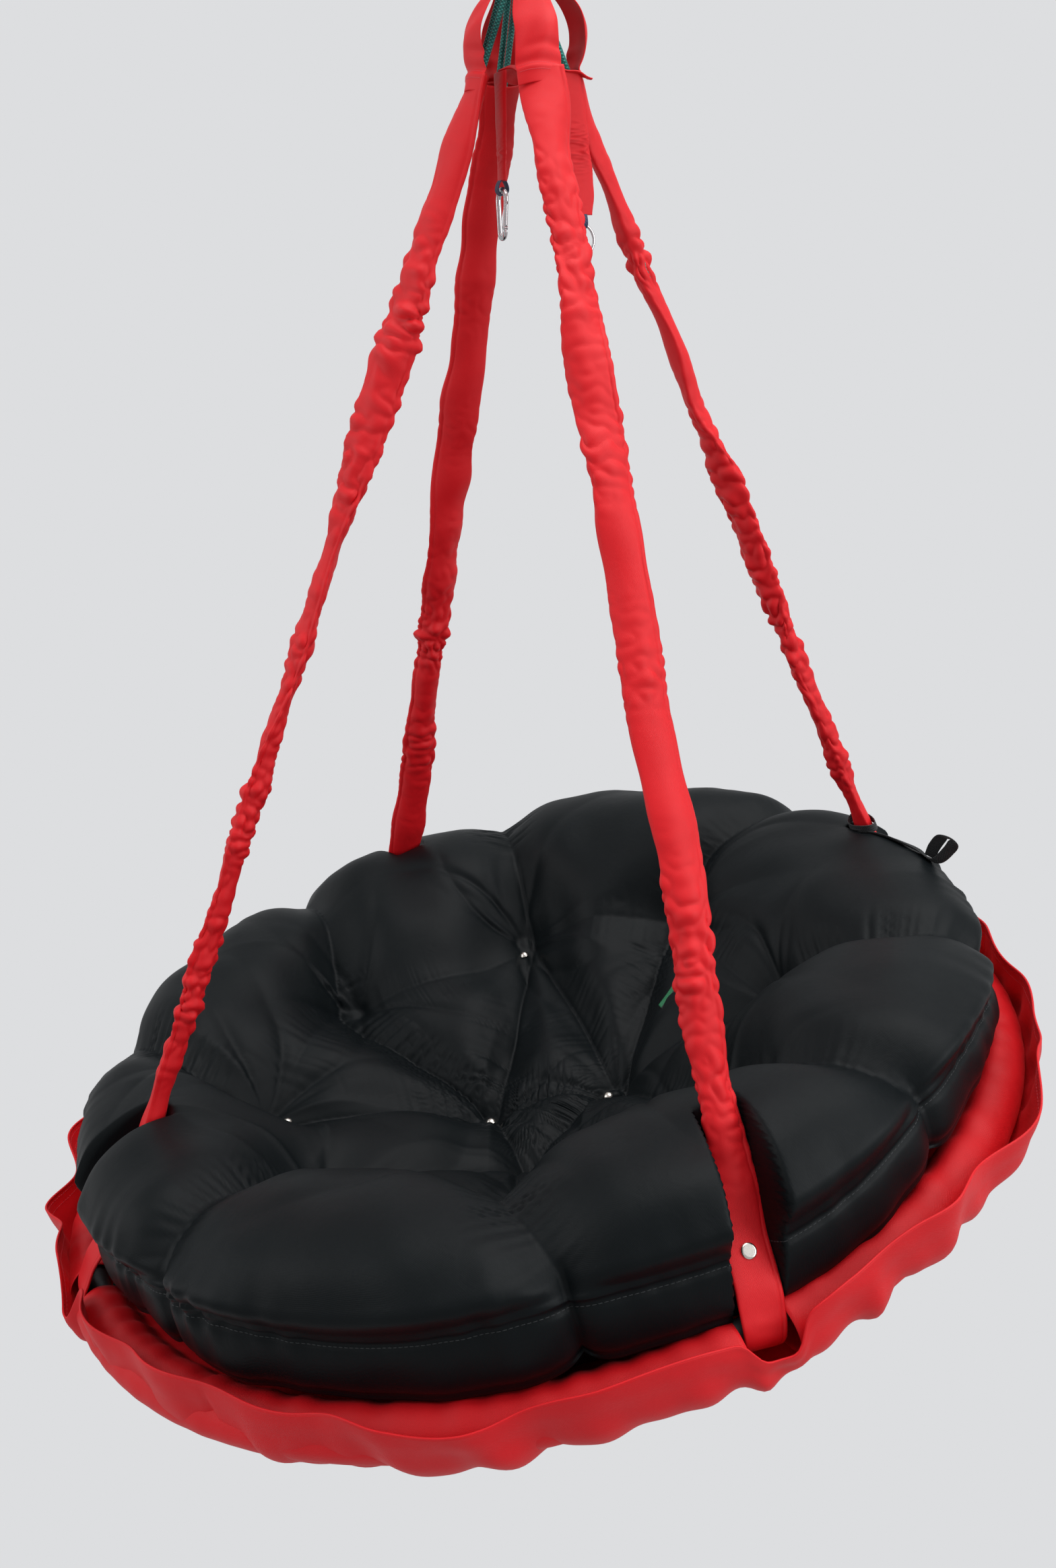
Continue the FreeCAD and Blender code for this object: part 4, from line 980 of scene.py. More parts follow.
@dataclass
class Sleeves:
    """Fabric tubes round the cords. Each goes flat near the hoop, round it and up inside as a tail."""

    top: float = 0.118
    flat_from: float = 0.098
    turn: float = 0.0192
    wall: float = 0.0009
    tail_width: float = 0.038
    step: float = 0.0024
    sides: int = 56
    seam_stand: float = 0.0022
    flat_thickness: float = 0.0034
    crumple_height: float = 0.0026
    crumple_radius: float = 0.019
    ring_height: float = 0.0016
    ring_pitch: float = 0.017
    slow_height: float = 0.0010
    drift: float = 0.0011
    slack: float = 1.12
    stitch_length: float = 0.0034
    thread: float = 0.00038

    def path(self, rope: RopeLine) -> Array:
        """Height above the hoop and distance outward of the sleeve's middle, station by station."""
        t = self.turn
        bend = t * math.sqrt(0.5)
        keys = [(rope.length - self.top, 0), (rope.length * 0.6, 0), (rope.length * 0.3, 0), (0.16, 0),
                (0.112, 0.0008),
                (0.085, 0.0038), (0.072, 0.0066), (0.060, 0.0106), (0.045, 0.0152), (0.030, 0.0188),
                (0.012, t), (0, t), (-bend, bend), (-t, 0), (-bend, -bend), (0, -t), (0.012, -t),
                (0.034, -0.0192), (0.058, -0.0148), (0.082, -0.0108), (0.105, -0.0105)]
        return spline(np.array(keys, float), self.step)

    def grid(self, side: Side) -> Array:
        """The sleeve's outer face.

        A ring's point at angle a lies at half the width times cos a across, and half the thickness times
        sin a (raised to a power below 1 where the tube is pressed flat) outward, turned by the twist.
        Where it is gathered, the power 0.85 of two summed waves' size crumples it, and the tightest stretches
        add rings, the power 0.8 of |cos(pi run / pitch)|, broken by the first wave. A seam stands along one
        edge.

        Args:
            side: whose sleeve it is.

        Returns:
            Points by station, side and coordinate.
        """
        rope, look = ROPES[side], LOOKS[side]
        line = self.path(rope)
        run = lengths(line)
        straight = rope.length - self.top - self.flat_from
        share = np.clip(run / straight, 0, 1)
        flat = ramp(straight - 0.035, straight + 0.035, run)
        a = np.linspace(0, 2 * math.pi, self.sides, endpoint=False)[None, :]
        width = eased(share, look.width) * (1 - flat) + self.tail_width * flat
        width = width * (1 - 0.10 * hill(run, straight + 0.098 + self.turn * 1.57, 0.02))
        thick = eased(share, look.thick) * (1 - flat) + self.flat_thickness * flat
        twist = np.radians(eased(share, look.twist)) + 0.18 * wander(share, look.seed + 5, 2, 7) * (1 - flat)
        power = (0.95 - 0.5 * flat)[:, None]
        lens = 0.62 + 0.38 * np.sin(a) ** 2
        x = width[:, None] / 2 * np.cos(a)
        y = (thick[:, None] / 2 * np.sign(np.sin(a)) * np.abs(np.sin(a)) ** power
             * (lens + (1 - lens) * flat[:, None]))
        gather = sum(s * hill(share, c, h) for c, h, s in look.gathers)
        gather = (np.clip(gather + 0.10 + 0.06 * wander(share, look.seed + 9, 3, 11), 0, 1.4) * (1 - flat)
                  + 0.05 * flat)
        spread = run[:, None] + 0 * a
        one = plane_wander(spread, self.crumple_radius * np.sin(a), look.seed + 50, 110, 400, 16)
        two = plane_wander(spread, self.crumple_radius * np.cos(a), look.seed + 51, 110, 400, 16)
        crumple = np.abs((one + two) / math.sqrt(2)) ** 0.85 - 0.6
        shuffle = 2.0 * wander(run / run[-1], look.seed + 2, 4, 20)[:, None]
        phase = run[:, None] / self.ring_pitch + 0.5 * np.sin(a + look.seed) + shuffle
        ring = np.abs(np.cos(math.pi * phase)) ** 0.8 - 0.6
        tight = ramp(0.7, 1.3, gather)[:, None]
        push = self.crumple_height * gather[:, None] * crumple
        push = push + self.ring_height * tight * ring * np.clip(0.5 + 0.5 * one, 0, 1)
        slow = self.slow_height * plane_wander(spread, 0.02 * np.sin(a + 1), look.seed, 20, 120)
        push = push + slow * (1 - 0.7 * flat)[:, None]
        seam = self.seam_stand * (hill(a, 0, 0.16) + hill(a, 2 * math.pi, 0.16))
        dent = -0.0009 * (hill(a, 0.42, 0.10) + hill(a, 2 * math.pi - 0.42, 0.10))
        out = unit(np.stack([np.cos(a) * np.ones_like(x) * 0.75, np.sin(a) * np.ones_like(x)], axis=-1))
        x = x + push * out[..., 0] + seam
        y = y + push * out[..., 1] + dent * np.sign(np.sin(a))
        drift = (self.drift * wander(share, look.seed + 30, 1.5, 6) * (1 - flat) * ramp(0, 0.06, share))[:,
                                                                                                         None]
        c, s = np.cos(twist)[:, None], np.sin(twist)[:, None]
        x, y = x * c - y * s + drift, x * s + y * c
        tangent = unit(np.gradient(line, axis=0))
        normal = np.stack([tangent[:, 1], -tangent[:, 0]], axis=1)
        height = line[:, :1] + normal[:, :1] * y
        outward = line[:, 1:] + normal[:, 1:] * y
        return rope.up(height, x, outward)

    def build(self) -> None:
        """Makes the four sleeves and their seam stitching."""
        places, along, out = [], [], []
        for side in ROPES:
            grid = self.grid(side)
            sleeve = surface("rope_sleeve_" + side.label, grid, RED, closed=True, flip=True)
            thicken(sleeve, self.wall)
            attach(sleeve, "seat")
            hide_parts("sleeve_" + side.label)
            around = float(np.linalg.norm(np.diff(grid, axis=1), axis=2).sum(axis=1).mean())
            run = float(lengths(grid.mean(axis=1))[-1])
            "cord_" + side.label
            LOG.info("sleeve %s: %.3f m round, %.3f m long", side.label, around, run)
            for column in (4, self.sides - 4):
                row = np.arange(6, len(grid) - 4, 2)
                middle = grid.mean(axis=1)[row]
                places.append(grid[row, column])
                along.append(grid[row + 1, column] - grid[row - 1, column])
                out.append(grid[row, column] - middle)
        sewn = stitches("sleeve_stitching", np.vstack(places), np.vstack(along), np.vstack(out),
                        self.stitch_length, self.thread, RED_THREAD)
        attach(sewn, "seat")


# --- hub ----------------------------------------------------------------------------------------
@dataclass
class Hub:
    """Where the four sleeves meet: a bulging band over each, and a fabric web inside that joins them."""

    start: float = 0.034
    finish: float = 0.134
    wall: float = 0.0012
    band_length: float = 0.125
    band_hem: float = 0.004
    web_reach: float = 0.0235
    web_flat: float = 0.049
    tongue_start: float = 0.016
    tongue_half: float = 0.006
    tongue_drop: float = 0.008
    tongue_wall: float = 0.0014
    stitch_length: float = 0.0026
    thread: float = 0.00035

    BULGE = {Side.RIGHT: 0.0165, Side.BACK: 0.031, Side.LEFT: 0.018, Side.FRONT: 0.021}
    WIDTH = {Side.RIGHT: 0.044, Side.BACK: 0.039, Side.LEFT: 0.040, Side.FRONT: 0.041}

    def band(self, side: Side) -> Array:
        """One band's outer face: a profile down the rope, crowned across, with slanting creases.

        Args:
            side: whose band it is.

        Returns:
            Points by station, column and coordinate.
        """
        rope, bulge = ROPES[side], self.BULGE[side]
        keys = [(self.start, 0.014), (0.046, max(0.016, bulge * 0.8)), (0.062, bulge), (0.080, bulge * 1.02),
                (0.098, bulge * 0.78),
                (0.113, max(0.0105, bulge * 0.46)), (0.125, 0.0096), (self.finish, 0.0090)]
        line = spline(np.array(keys), 0.0016)
        v = np.linspace(-1, 1, 41)[None, :]
        t = ((line[:, 0] - self.start) / (self.finish - self.start))[:, None]
        half = (self.WIDTH[side] / 2 * (0.62 + 0.38 * ramp(0, 0.45, t))
                * (1 + 0.03 * np.sin(9 * t + side.value)))
        crown = 0.004 * (1 - v ** 2) * np.sin(math.pi * np.clip(t, 0, 1)) - (0.001 + 0.0075 * t ** 3) * v ** 2
        seed = int(side.value) + 40
        fade = np.sin(math.pi * np.clip(t * 0.95 + 0.02, 0, 1))
        crease = 0.0011 * plane_wander(t * 0.1 + 0.02 * v, v * 0.02, seed, 60, 190) * fade
        tuck = (-0.0022 * hill(t, 0.80, 0.035) + 0.0012 * hill(t, 0.86, 0.03)
                - 0.0014 * hill(t, 0.66, 0.04) * (1 + v))
        out = line[:, 1:] + crown + crease + tuck
        return rope.at(line[:, :1] + 0 * v, half * v, out)

    def web(self) -> Array:
        """The web under the hub: a lobed disc, its rim at angle a at a radius with four soft lobes."""
        turn = np.linspace(0, 2 * math.pi, 96, endpoint=False)[None, :]
        share = np.linspace(0.02, 1, 22)[:, None]
        low, high = corners("hub_gusset")
        middle = (low + high) / 2
        reach = self.web_reach + 0.002 * np.cos(4 * turn) + 0.001 * np.sin(3 * turn + 1)
        x = reach * share * np.cos(turn) + 0.003
        y = reach * share * np.sin(turn) + 0.004
        fold = 0.0016 * plane_wander(x, y, 77, 80, 320) - 0.004 * share ** 2 * np.cos(2 * turn)
        return np.stack([x, y, middle[2] + 0.001 + fold - 0.006 * share ** 3], axis=-1)

    def tongue(self) -> Array:
        """The narrow fabric tongue that the ring's strap hangs from."""
        low, high = corners("hub_gusset")
        across = np.linspace(-self.tongue_half, self.tongue_half, 9)[None, :]
        y = np.linspace(self.tongue_start, high[1] - 0.0015, 34)[:, None]
        drop = self.tongue_drop * ((y - y[0]) / (y[-1] - y[0])) ** 2
        strap_low, strap_high = corners("ring_strap")
        x = 0.5 * (strap_low[0] + strap_high[0]) + across * (1 + 0.2 * np.sin(y * 300))
        z = (low[2] + high[2]) / 2 - drop + 0.0008 * np.sin(y * 260 + across * 300)
        return np.stack(np.broadcast_arrays(x, y, z), axis=-1)

    def build(self) -> None:
        """Makes the bands, the web and its tongue, and the bands' seam stitching."""
        places, along, out = [], [], []
        for side, rope in ROPES.items():
            grid = self.band(side)
            band = surface("hub_petal_" + side.label, grid, RED)
            normal = np.cross(grid[20, 21] - grid[20, 20], grid[21, 20] - grid[20, 20])
            if np.dot(normal, rope.outward) < 0:
                band.data.flip_normals()
            thicken(band, self.wall)
            smoothed(band)
            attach(band, "seat")
            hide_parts("hub_band_" + side.label)
            "rope_sleeve_" + side.label
            for row in (len(grid) - 8, len(grid) - 12):
                column = np.arange(3, 38, 2)
                places.append(grid[row, column])
                along.append(grid[row, column + 1] - grid[row, column - 1])
                out.append(np.tile(rope.outward, (len(column), 1)))
        web = surface("hub_web", self.web(), RED, closed=True, caps=(True, False))
        thicken(web, self.wall, 0.0)
        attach(web, "seat")
        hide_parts("hub_gusset")
        tongue = surface("hub_tongue", self.tongue(), RED)
        thicken(tongue, self.tongue_wall, 0.0)
        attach(tongue, "seat")
        sewn = stitches("hub_stitching", np.vstack(places), np.vstack(along), np.vstack(out),
                        self.stitch_length, self.thread, RED_THREAD)
        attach(sewn, "seat")


# --- short straps -------------------------------------------------------------------------------
@dataclass
class ShortStraps:
    """Two short fabric straps under the hub, with folded webbing that holds a small hook and a ring."""

    wall: float = 0.0009
    ridge_height: float = 0.0020
    ridge_pitch: float = 0.0105
    seam_stand: float = 0.0016
    webbing_wall: float = 0.0009
    half_webbing: float = 0.0006

    def tube(self, name: str, node: str, wide: int, slim: float, seed: int,
             gathers: tuple[tuple[float, float, float], ...],
             body: str, lean: float) -> bpy.types.Object:
        """A flat fabric tube from a CAD strap's top to its bottom.

        Ring points lie at half the width times cos a and half the thickness times sin a, pushed out by ridges
        where it is gathered; the width narrows smoothly towards the bottom.

        Args:
            name: name of the piece.
            node: the CAD strap that it stands for.
            wide: which axis the strap is wide along, 0 or 1.
            slim: width at the bottom as a share of that at the top.
            seed: seed of its waves.
            gathers: centre, half length and strength of each gathered stretch, in shares of its length.
            body: the body it rides on.
            lean: how far the top leans towards the hub's middle.

        Returns:
            The linked object.
        """
        low, high = corners(node)
        middle = (low + high) / 2
        size = high - low
        t = np.linspace(0, 1, 120)[:, None]
        a = np.linspace(0, 2 * math.pi, 40, endpoint=False)[None, :]
        width = size[wide] / 2 * (1 - (1 - slim) * ramp(0.0, 1.0, t)) * (1 + 0.04 * wander(t, seed, 1, 5))
        thick = size[1 - wide] / 2 * (1.12 - 0.06 * t)
        run = t * size[2]
        gather = sum(s * hill(t, c, h) for c, h, s in gathers) + 0.12
        phase = run / self.ridge_pitch + 0.8 * np.sin(a + seed) + 1.5 * wander(t, seed + 1, 3, 12)
        ridge = gather * (self.ridge_height * (1 - np.abs(np.sin(math.pi * phase)) ** 0.8 - 0.35))
        b = (width * np.cos(a) + ridge * np.cos(a) * 0.6
             + self.seam_stand * (hill(a, 0, 0.2) + hill(a, 2 * math.pi, 0.2)))
        c = thick * np.sign(np.sin(a)) * np.abs(np.sin(a)) ** 0.75 + ridge * np.sin(a)
        shift = -lean * (1 - ramp(0, 0.75, t))
        xy = [None, None]
        xy[wide] = middle[wide] + b + (shift if wide == 1 else 0)
        xy[1 - wide] = middle[1 - wide] + c + (shift if wide == 0 else 0)
        grid = np.stack(np.broadcast_arrays(xy[0], xy[1], high[2] - run + 0 * a), axis=-1)
        strap = surface(name, grid, RED, closed=True, flip=wide == 0)
        thicken(strap, self.wall)
        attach(strap, body)
        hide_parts(node)
        return strap

    def webbing(self, name: str, node: str, wide: int, inner: float, hang: float,
                body: str) -> bpy.types.Object:
        """A folded webbing whose loop holds a wire: two legs up into the strap, a rounded loop below.

        Args:
            name: name of the piece.
            node: the CAD webbing that it stands for.
            wide: which axis the webbing is wide along, 0 or 1.
            inner: inside radius of its loop.
            hang: height of the wire's centre.
            body: the body it rides on.

        Returns:
            The linked object.
        """
        low, high = corners(node)
        middle = (low + high) / 2
        leg = self.half_webbing
        r = inner + leg
        keys = [(leg, high[2] - hang), (leg, 0.03), (leg * 1.3, 0.012), (r * 0.75, 0.0052), (r, 0.0),
                (r * 0.72, -r * 0.72), (0, -r),
                (-r * 0.72, -r * 0.72), (-r, 0.0), (-r * 0.75, 0.0052), (-leg * 1.3, 0.012), (-leg, 0.03),
                (-leg, high[2] - hang)]
        line = spline(np.array(keys), 0.0008)
        v = np.linspace(-0.5, 0.5, 11)[None, :] * (high[wide] - low[wide])
        xy = [None, None]
        xy[wide] = middle[wide] + v + 0 * line[:, :1]
        xy[1 - wide] = middle[1 - wide] + line[:, :1] + 0 * v
        grid = np.stack([xy[0], xy[1], hang + line[:, 1:] + 0 * v], axis=-1)
        strap = surface(name, grid, BLUE_WEBBING)
        thicken(strap, self.webbing_wall, 0.0)
        smoothed(strap)
        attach(strap, body)
        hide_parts(node)
        return strap

    def build(self) -> None:
        """Makes both straps and both webbings."""
        hook, ring = pivot("snap_hook_tilt"), pivot("ring_tilt")
        self.tube("hook_strap_sleeve", "hook_strap", 0, 0.62, 5, ((0.75, 0.1, 0.5),), "hook_strap", 0.0)
        self.tube("ring_strap_sleeve", "ring_strap", 1, 0.96, 12, ((0.52, 0.12, 1.3),), "ring_strap", 0.012)
        self.webbing("hook_webbing", "hook_strap_webbing", 0, 0.00471, hook[2], "hook_strap")
        self.webbing("ring_webbing", "ring_strap_webbing", 1, 0.0042, ring[2], "ring_strap")
        LOG.info("short straps made")


# --- cushion ------------------------------------------------------------------------------------
@dataclass
class Cushion:
    """The tufted, boxed cushion, dished in the sling, with lobes between its sewn-down channels."""

    radius: float = 0.506
    centre: float = -0.016
    dish_radius: float = 0.320
    dish_rise: float = 0.114
    tuft_depth: float = 0.034
    inner_ring: float = 0.084
    outer_ring: float = 0.275
    shift: float = 0.020
    sag: float = 0.125
    around: int = 800
    top_step: float = 0.0031
    side_step: float = 0.0026
    under_step: float = 0.011
    filling: float = 0.026
    fold_depth: float = 0.0075
    pucker_height: float = 0.0040
    channel_depth: float = 0.014
    inset: float = 0.075
    dip: float = 0.024
    notch_half: float = 0.0195
    notch_slope: float = 10.0
    notch_round: float = 0.005
    stitch_pitch: float = 0.0052
    stitch_length: float = 0.0040
    thread: float = 0.00042

    LABEL_TURN = 92.0
    LABEL_SIZE = (0.052, 0.016)
    INNER = (99.0, 211.0, 333.0)
    OUTER = (20.0, 66.0, 112.0, 157.0, 203.0, 248.0, 292.0, 335.0)
    CHANNELS = (27.0, 60.0, 105.0, 158.0, 193.0, 237.0, 296.0, 343.0)
    TOP = ((0, -0.016), (0.08, -0.009), (0.16, 0.0125), (0.24, 0.048), (0.32, 0.098), (0.375, 0.128),
           (0.425, 0.137),
           (0.468, 0.128), (0.494, 0.108), (0.506, 0.089))
    GUSSET = ((0.506, 0.089), (0.5105, 0.074), (0.512, 0.056), (0.511, 0.038), (0.504, 0.0225))
    UNDER = ((0.504, 0.0225), (0.490, 0.0155), (0.472, 0.006), (0.456, -0.009), (0.40, -0.040),
             (0.32, -0.0705), (0.22, -0.095),
             (0.10, -0.1125), (0.002, -0.1185))

    def tufts(self) -> Array:
        """Places of the tufts in the hoop's plane, inner ring first."""
        inner = np.radians(self.INNER)
        outer = np.radians(self.OUTER)
        a = np.stack([self.shift + self.inner_ring * np.cos(inner), self.inner_ring * np.sin(inner)], axis=1)
        b = np.stack([self.outer_ring * np.cos(outer), self.outer_ring * np.sin(outer)], axis=1)
        return np.vstack([a, b])

    def base(self, x: Array, y: Array) -> Array:
        """Height of the plain dish: centre plus rise times (r / dish radius)^2."""
        return self.centre + self.dish_rise * (x * x + y * y) / self.dish_radius ** 2

    def creases(self) -> list[tuple[Array, Array, float, float, float]]:
        """The sewn-down lines: both ends, depth at the ends, depth in the middle and half width."""
        t = self.tufts()
        inner, outer = t[:3], t[3:]
        rim = np.array([(0.515 * math.cos(math.radians(a)), 0.515 * math.sin(math.radians(a)))
                        for a in self.CHANNELS])
        lines = [(inner[i], inner[(i + 1) % 3], 0.027, 0.017, 0.017) for i in range(3)]
        pairs = ((0, 2), (0, 0), (1, 0), (2, 0), (3, 0), (3, 1), (4, 1), (5, 1), (6, 2), (7, 2))
        lines += [(outer[i], inner[k], 0.029, 0.016, 0.019) for i, k in pairs]
        lines += [(outer[i], rim[i], 0.030, 0.021, 0.020) for i in range(8)]
        lines += [(outer[i], outer[(i + 1) % 8], 0.020, 0.0045, 0.024) for i in range(8)]
        return lines

    def relief(self, x: Array, y: Array) -> Array:
        """How far the cloth lies above or below the plain dish.

        The filling lifts the cloth by a height times the product, over the creases, of
        1 - 0.9 exp(-(distance / 50 mm)^2). Each crease sinks by its depth times exp(-(distance / width)^2),
        and a narrow fold exp(-distance / 5 mm) lies at its bottom. The wide parts join as the cube root of
        their cubes' sum. Short puckers cross the creases, and seeded folds run out from every tuft.

        Args:
            x: first coordinate in the hoop's plane.
            y: second coordinate.

        Returns:
            The relief in metres.
        """
        sunk = np.zeros_like(x)
        sharp = np.zeros_like(x)
        pucker = np.zeros_like(x)
        lift = np.ones_like(x)
        bx = x + 0.011 * plane_wander(x, y, 5, 9, 22)
        by = y + 0.011 * plane_wander(x, y, 6, 9, 22)
        lines = self.creases()
        rims = range(len(lines) - 16, len(lines) - 8)
        for index, (a, b, ends, middle, width) in enumerate(lines):
            d = b - a
            size = float(np.hypot(*d))
            t = np.clip(((bx - a[0]) * d[0] + (by - a[1]) * d[1]) / size ** 2, 0, 1)
            away = np.hypot(bx - a[0] - t * d[0], by - a[1] - t * d[1])
            fade = ramp(0, 1, t) if index in rims else 0 * t
            deep = (middle + (ends - middle) * np.cos(math.pi * t) ** 2) * (1 - 0.45 * fade)
            sunk += (0.8 * deep * hill(away, 0, 1.5 * width)) ** 3
            strong = min(1.0, middle / 0.014) * (1 - 0.55 * fade)
            sharp = np.maximum(sharp, strong * self.fold_depth * np.exp(-away / 0.005))
            lift *= 1 - 0.9 * strong * hill(away, 0, 0.050)
            across = (np.abs(np.cos(math.pi * (t * size / 0.026 + 0.7 * wander(t, 200 + index, 2, 9)))) ** 0.7
                      - 0.62)
            window = ramp(0, 0.2, t) * ramp(0, 0.2, 1 - t)
            pucker += strong * window * self.pucker_height * across * hill(away, 0.014, 0.022)
        folds = np.zeros_like(x)
        for index, (tx, ty) in enumerate(self.tufts()):
            rng = np.random.default_rng(100 + index)
            away = np.hypot(x - tx, y - ty)
            turn = np.arctan2(y - ty, x - tx)
            sunk += (self.tuft_depth * np.exp(-((away / 0.036) ** 1.2))) ** 3
            for _ in range(13):
                middle, half = rng.uniform(-math.pi, math.pi), rng.uniform(0.06, 0.15)
                height, reach = rng.uniform(-0.0068, 0.0050), rng.uniform(0.030, 0.075)
                swing = rng.uniform(-5, 5)
                gap = turned_from(turn - swing * away, middle)
                shape = (away / reach) ** 1.2 * np.exp(1.2 * (1 - away / reach))
                folds += height * (np.exp(-np.abs(gap / half) ** 1.3) - 0.15) * shape
        pucker *= np.clip(0.6 + plane_wander(x, y, 33, 9, 30), 0, 1.3)
        total = (self.filling * lift - np.cbrt(sunk) - sharp + pucker + folds
                 + 0.0014 * plane_wander(x, y, 31, 25, 80))
        for tx, ty in self.tufts():
            hold = np.exp(-((np.hypot(x - tx, y - ty) / 0.0085) ** 4))
            total = total * (1 - hold) - (self.tuft_depth - 0.0012) * hold
        return total

    def channel(self, turn: Array) -> Array:
        """How strongly a channel pinches the rim at each angle, 1 in its middle."""
        total = np.zeros_like(turn)
        for index, middle in enumerate(self.CHANNELS):
            gap = turned_from(turn, math.radians(middle)) * self.radius
            strength = 0.8 + 0.2 * math.sin(3.7 * index)
            total = np.maximum(total, np.exp(-((np.abs(gap) / 0.011) ** 1.1)) * strength)
        return total

    def grid(self) -> Array:
        """The whole outer face, from the dish's centre over the rim and the boxed side to the underside.

        A profile of radius and height is carried round the seat; relief lifts it along the profile's normal.

        Returns:
            Points by station along the profile, angle and coordinate, in the hoop's plane.
        """
        top = spline(np.array(self.TOP), self.top_step)
        side = spline(np.array(self.GUSSET), self.side_step)
        under = spline(np.array(self.UNDER), self.under_step)
        profile = np.vstack([top, side[1:], under[1:]])
        profile[0, 0] = 0.0015
        s = lengths(profile)
        s_top, s_low = s[len(top) - 1], s[len(top) + len(side) - 2]
        tangent = unit(np.gradient(profile, axis=0))
        normal = np.stack([-tangent[:, 1], tangent[:, 0]], axis=1)
        even = np.linspace(0, 2 * math.pi, self.around, endpoint=False)[None, :]
        turn = even - 0.45 * np.sin(4 * even) / 4
        r, z, s = profile[:, :1], profile[:, 1:], s[:, None]
        x, y = r * np.cos(turn), r * np.sin(turn)
        on_top = 1 - ramp(s_top - 0.018, s_top + 0.002, s)
        boxed = ramp(s_top - 0.05, s_top, s) * (1 - ramp(s_low, s_low + 0.05, s))
        relief = self.relief(x, y) * on_top
        pinch = self.channel(turn)
        relief = relief - self.channel_depth * pinch * boxed
        lobe = (1 - pinch) * boxed
        relief = relief + 0.004 * lobe * whole_wander(turn, 4, 5, 14)
        near_seam = np.exp(-np.abs(s - s_top) / 0.020)
        pucker = whole_wander(turn, 9, 60, 120, 9) * whole_wander(turn, 10, 5, 16, 5)
        waves = boxed * whole_wander(turn, 12, 24, 60) * (1 - near_seam)
        relief = relief + 0.0014 * near_seam * pucker + 0.0009 * waves
        relief = relief + 0.0026 * hill(s, s_top, 0.0026) - 0.0020 * hill(s, s_top + 0.0062, 0.003)
        relief = relief + 0.0018 * hill(s, s_low, 0.0026) - 0.0012 * hill(s, s_low - 0.006, 0.003)
        rise = normal[:, 1:] * relief
        spread = normal[:, :1] * relief
        sway = 0.005 * whole_wander(turn, 14, 3, 9) * boxed
        front = hill(turned_from(turn, math.radians(250)), 0, math.radians(46))
        back = hill(turned_from(turn, math.radians(70)), 0, math.radians(36))
        inwards = 1 - self.inset * front * ramp(0.30, 0.50, r)
        lower = self.dip * back * ramp(0.28, 0.44, r) * (1 - ramp(s_top, s_low, s))
        radius = (r + spread) * inwards
        height = z + rise + sway - lower
        return np.stack([radius * np.cos(turn), radius * np.sin(turn), height + 0 * turn], axis=-1)

    def clear_of_sleeves(self, points: Array) -> Array:
        """Presses the cloth in where a sleeve passes.

        Outward distance is held under a limit that opens sideways: it loses half of the sum of the excess and
        the root of its square and the rounding's square.

        Args:
            points: points in the swing's frame.

        Returns:
            The moved points.
        """
        moved = points.copy()
        for rope in ROPES.values():
            height, across, outward = rope.coordinates(moved)
            room = -0.0115 - 0.0035 * (1 - ramp(0.10, 0.13, height))
            limit = room + self.notch_slope * np.maximum(np.abs(across) - self.notch_half, 0.0)
            over = outward - limit
            near = (np.abs(across) < 0.06) & (height > -0.05) & (height < 0.30) & (outward > -0.1)
            shift = np.where(near, -(over + np.sqrt(over * over + self.notch_round ** 2)) / 2, 0.0)
            shift = shift * (1 - ramp(0.028, 0.040, np.abs(across))) * (1 - ramp(0.22, 0.30, height))
            moved = moved + shift[..., None] * rope.outward
        return moved

    def build(self) -> None:
        """Makes the cushion, its seam stitching, the tie and the blank label."""
        grid = self.clear_of_sleeves(SEAT.world(self.grid()))
        pad = surface("tufted_cushion", grid, BLACK, closed=True, caps=(True, True))
        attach(pad, "seat")
        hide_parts("cushion")
        LOG.info("cushion has %d faces", len(pad.data.polygons))
        self.stitching(grid)
        self.tie()
        self.label()

    def stitching(self, grid: Array) -> None:
        """A row of stitches beside the cushion's upper side seam."""
        row = len(spline(np.array(self.TOP), self.top_step)) + 2
        places, along, out = seam_row(grid[row], grid[row + 2], self.stitch_pitch)
        sewn = stitches("cushion_stitching", places, along, out, self.stitch_length, self.thread,
                        BLACK_THREAD)
        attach(sewn, "seat")

    def ribbon(self, name: str, line: Array, side: Array, width: float, thickness: float,
               material: bpy.types.Material) -> bpy.types.Object:
        """A flat strap: its middle line, the direction it is wide along at each station, and its sizes.

        Args:
            name: name of the piece.
            line: middle line, one point for each row.
            side: direction across the strap at each station.
            width: width of the strap.
            thickness: thickness of the strap.
            material: its finish.

        Returns:
            The linked object.
        """
        v = np.linspace(-0.5, 0.5, 9)[None, :, None] * width
        strap = surface(name, line[:, None] + unit(side)[:, None] * v, material)
        thicken(strap, thickness, 0.0)
        smoothed(strap)
        return strap

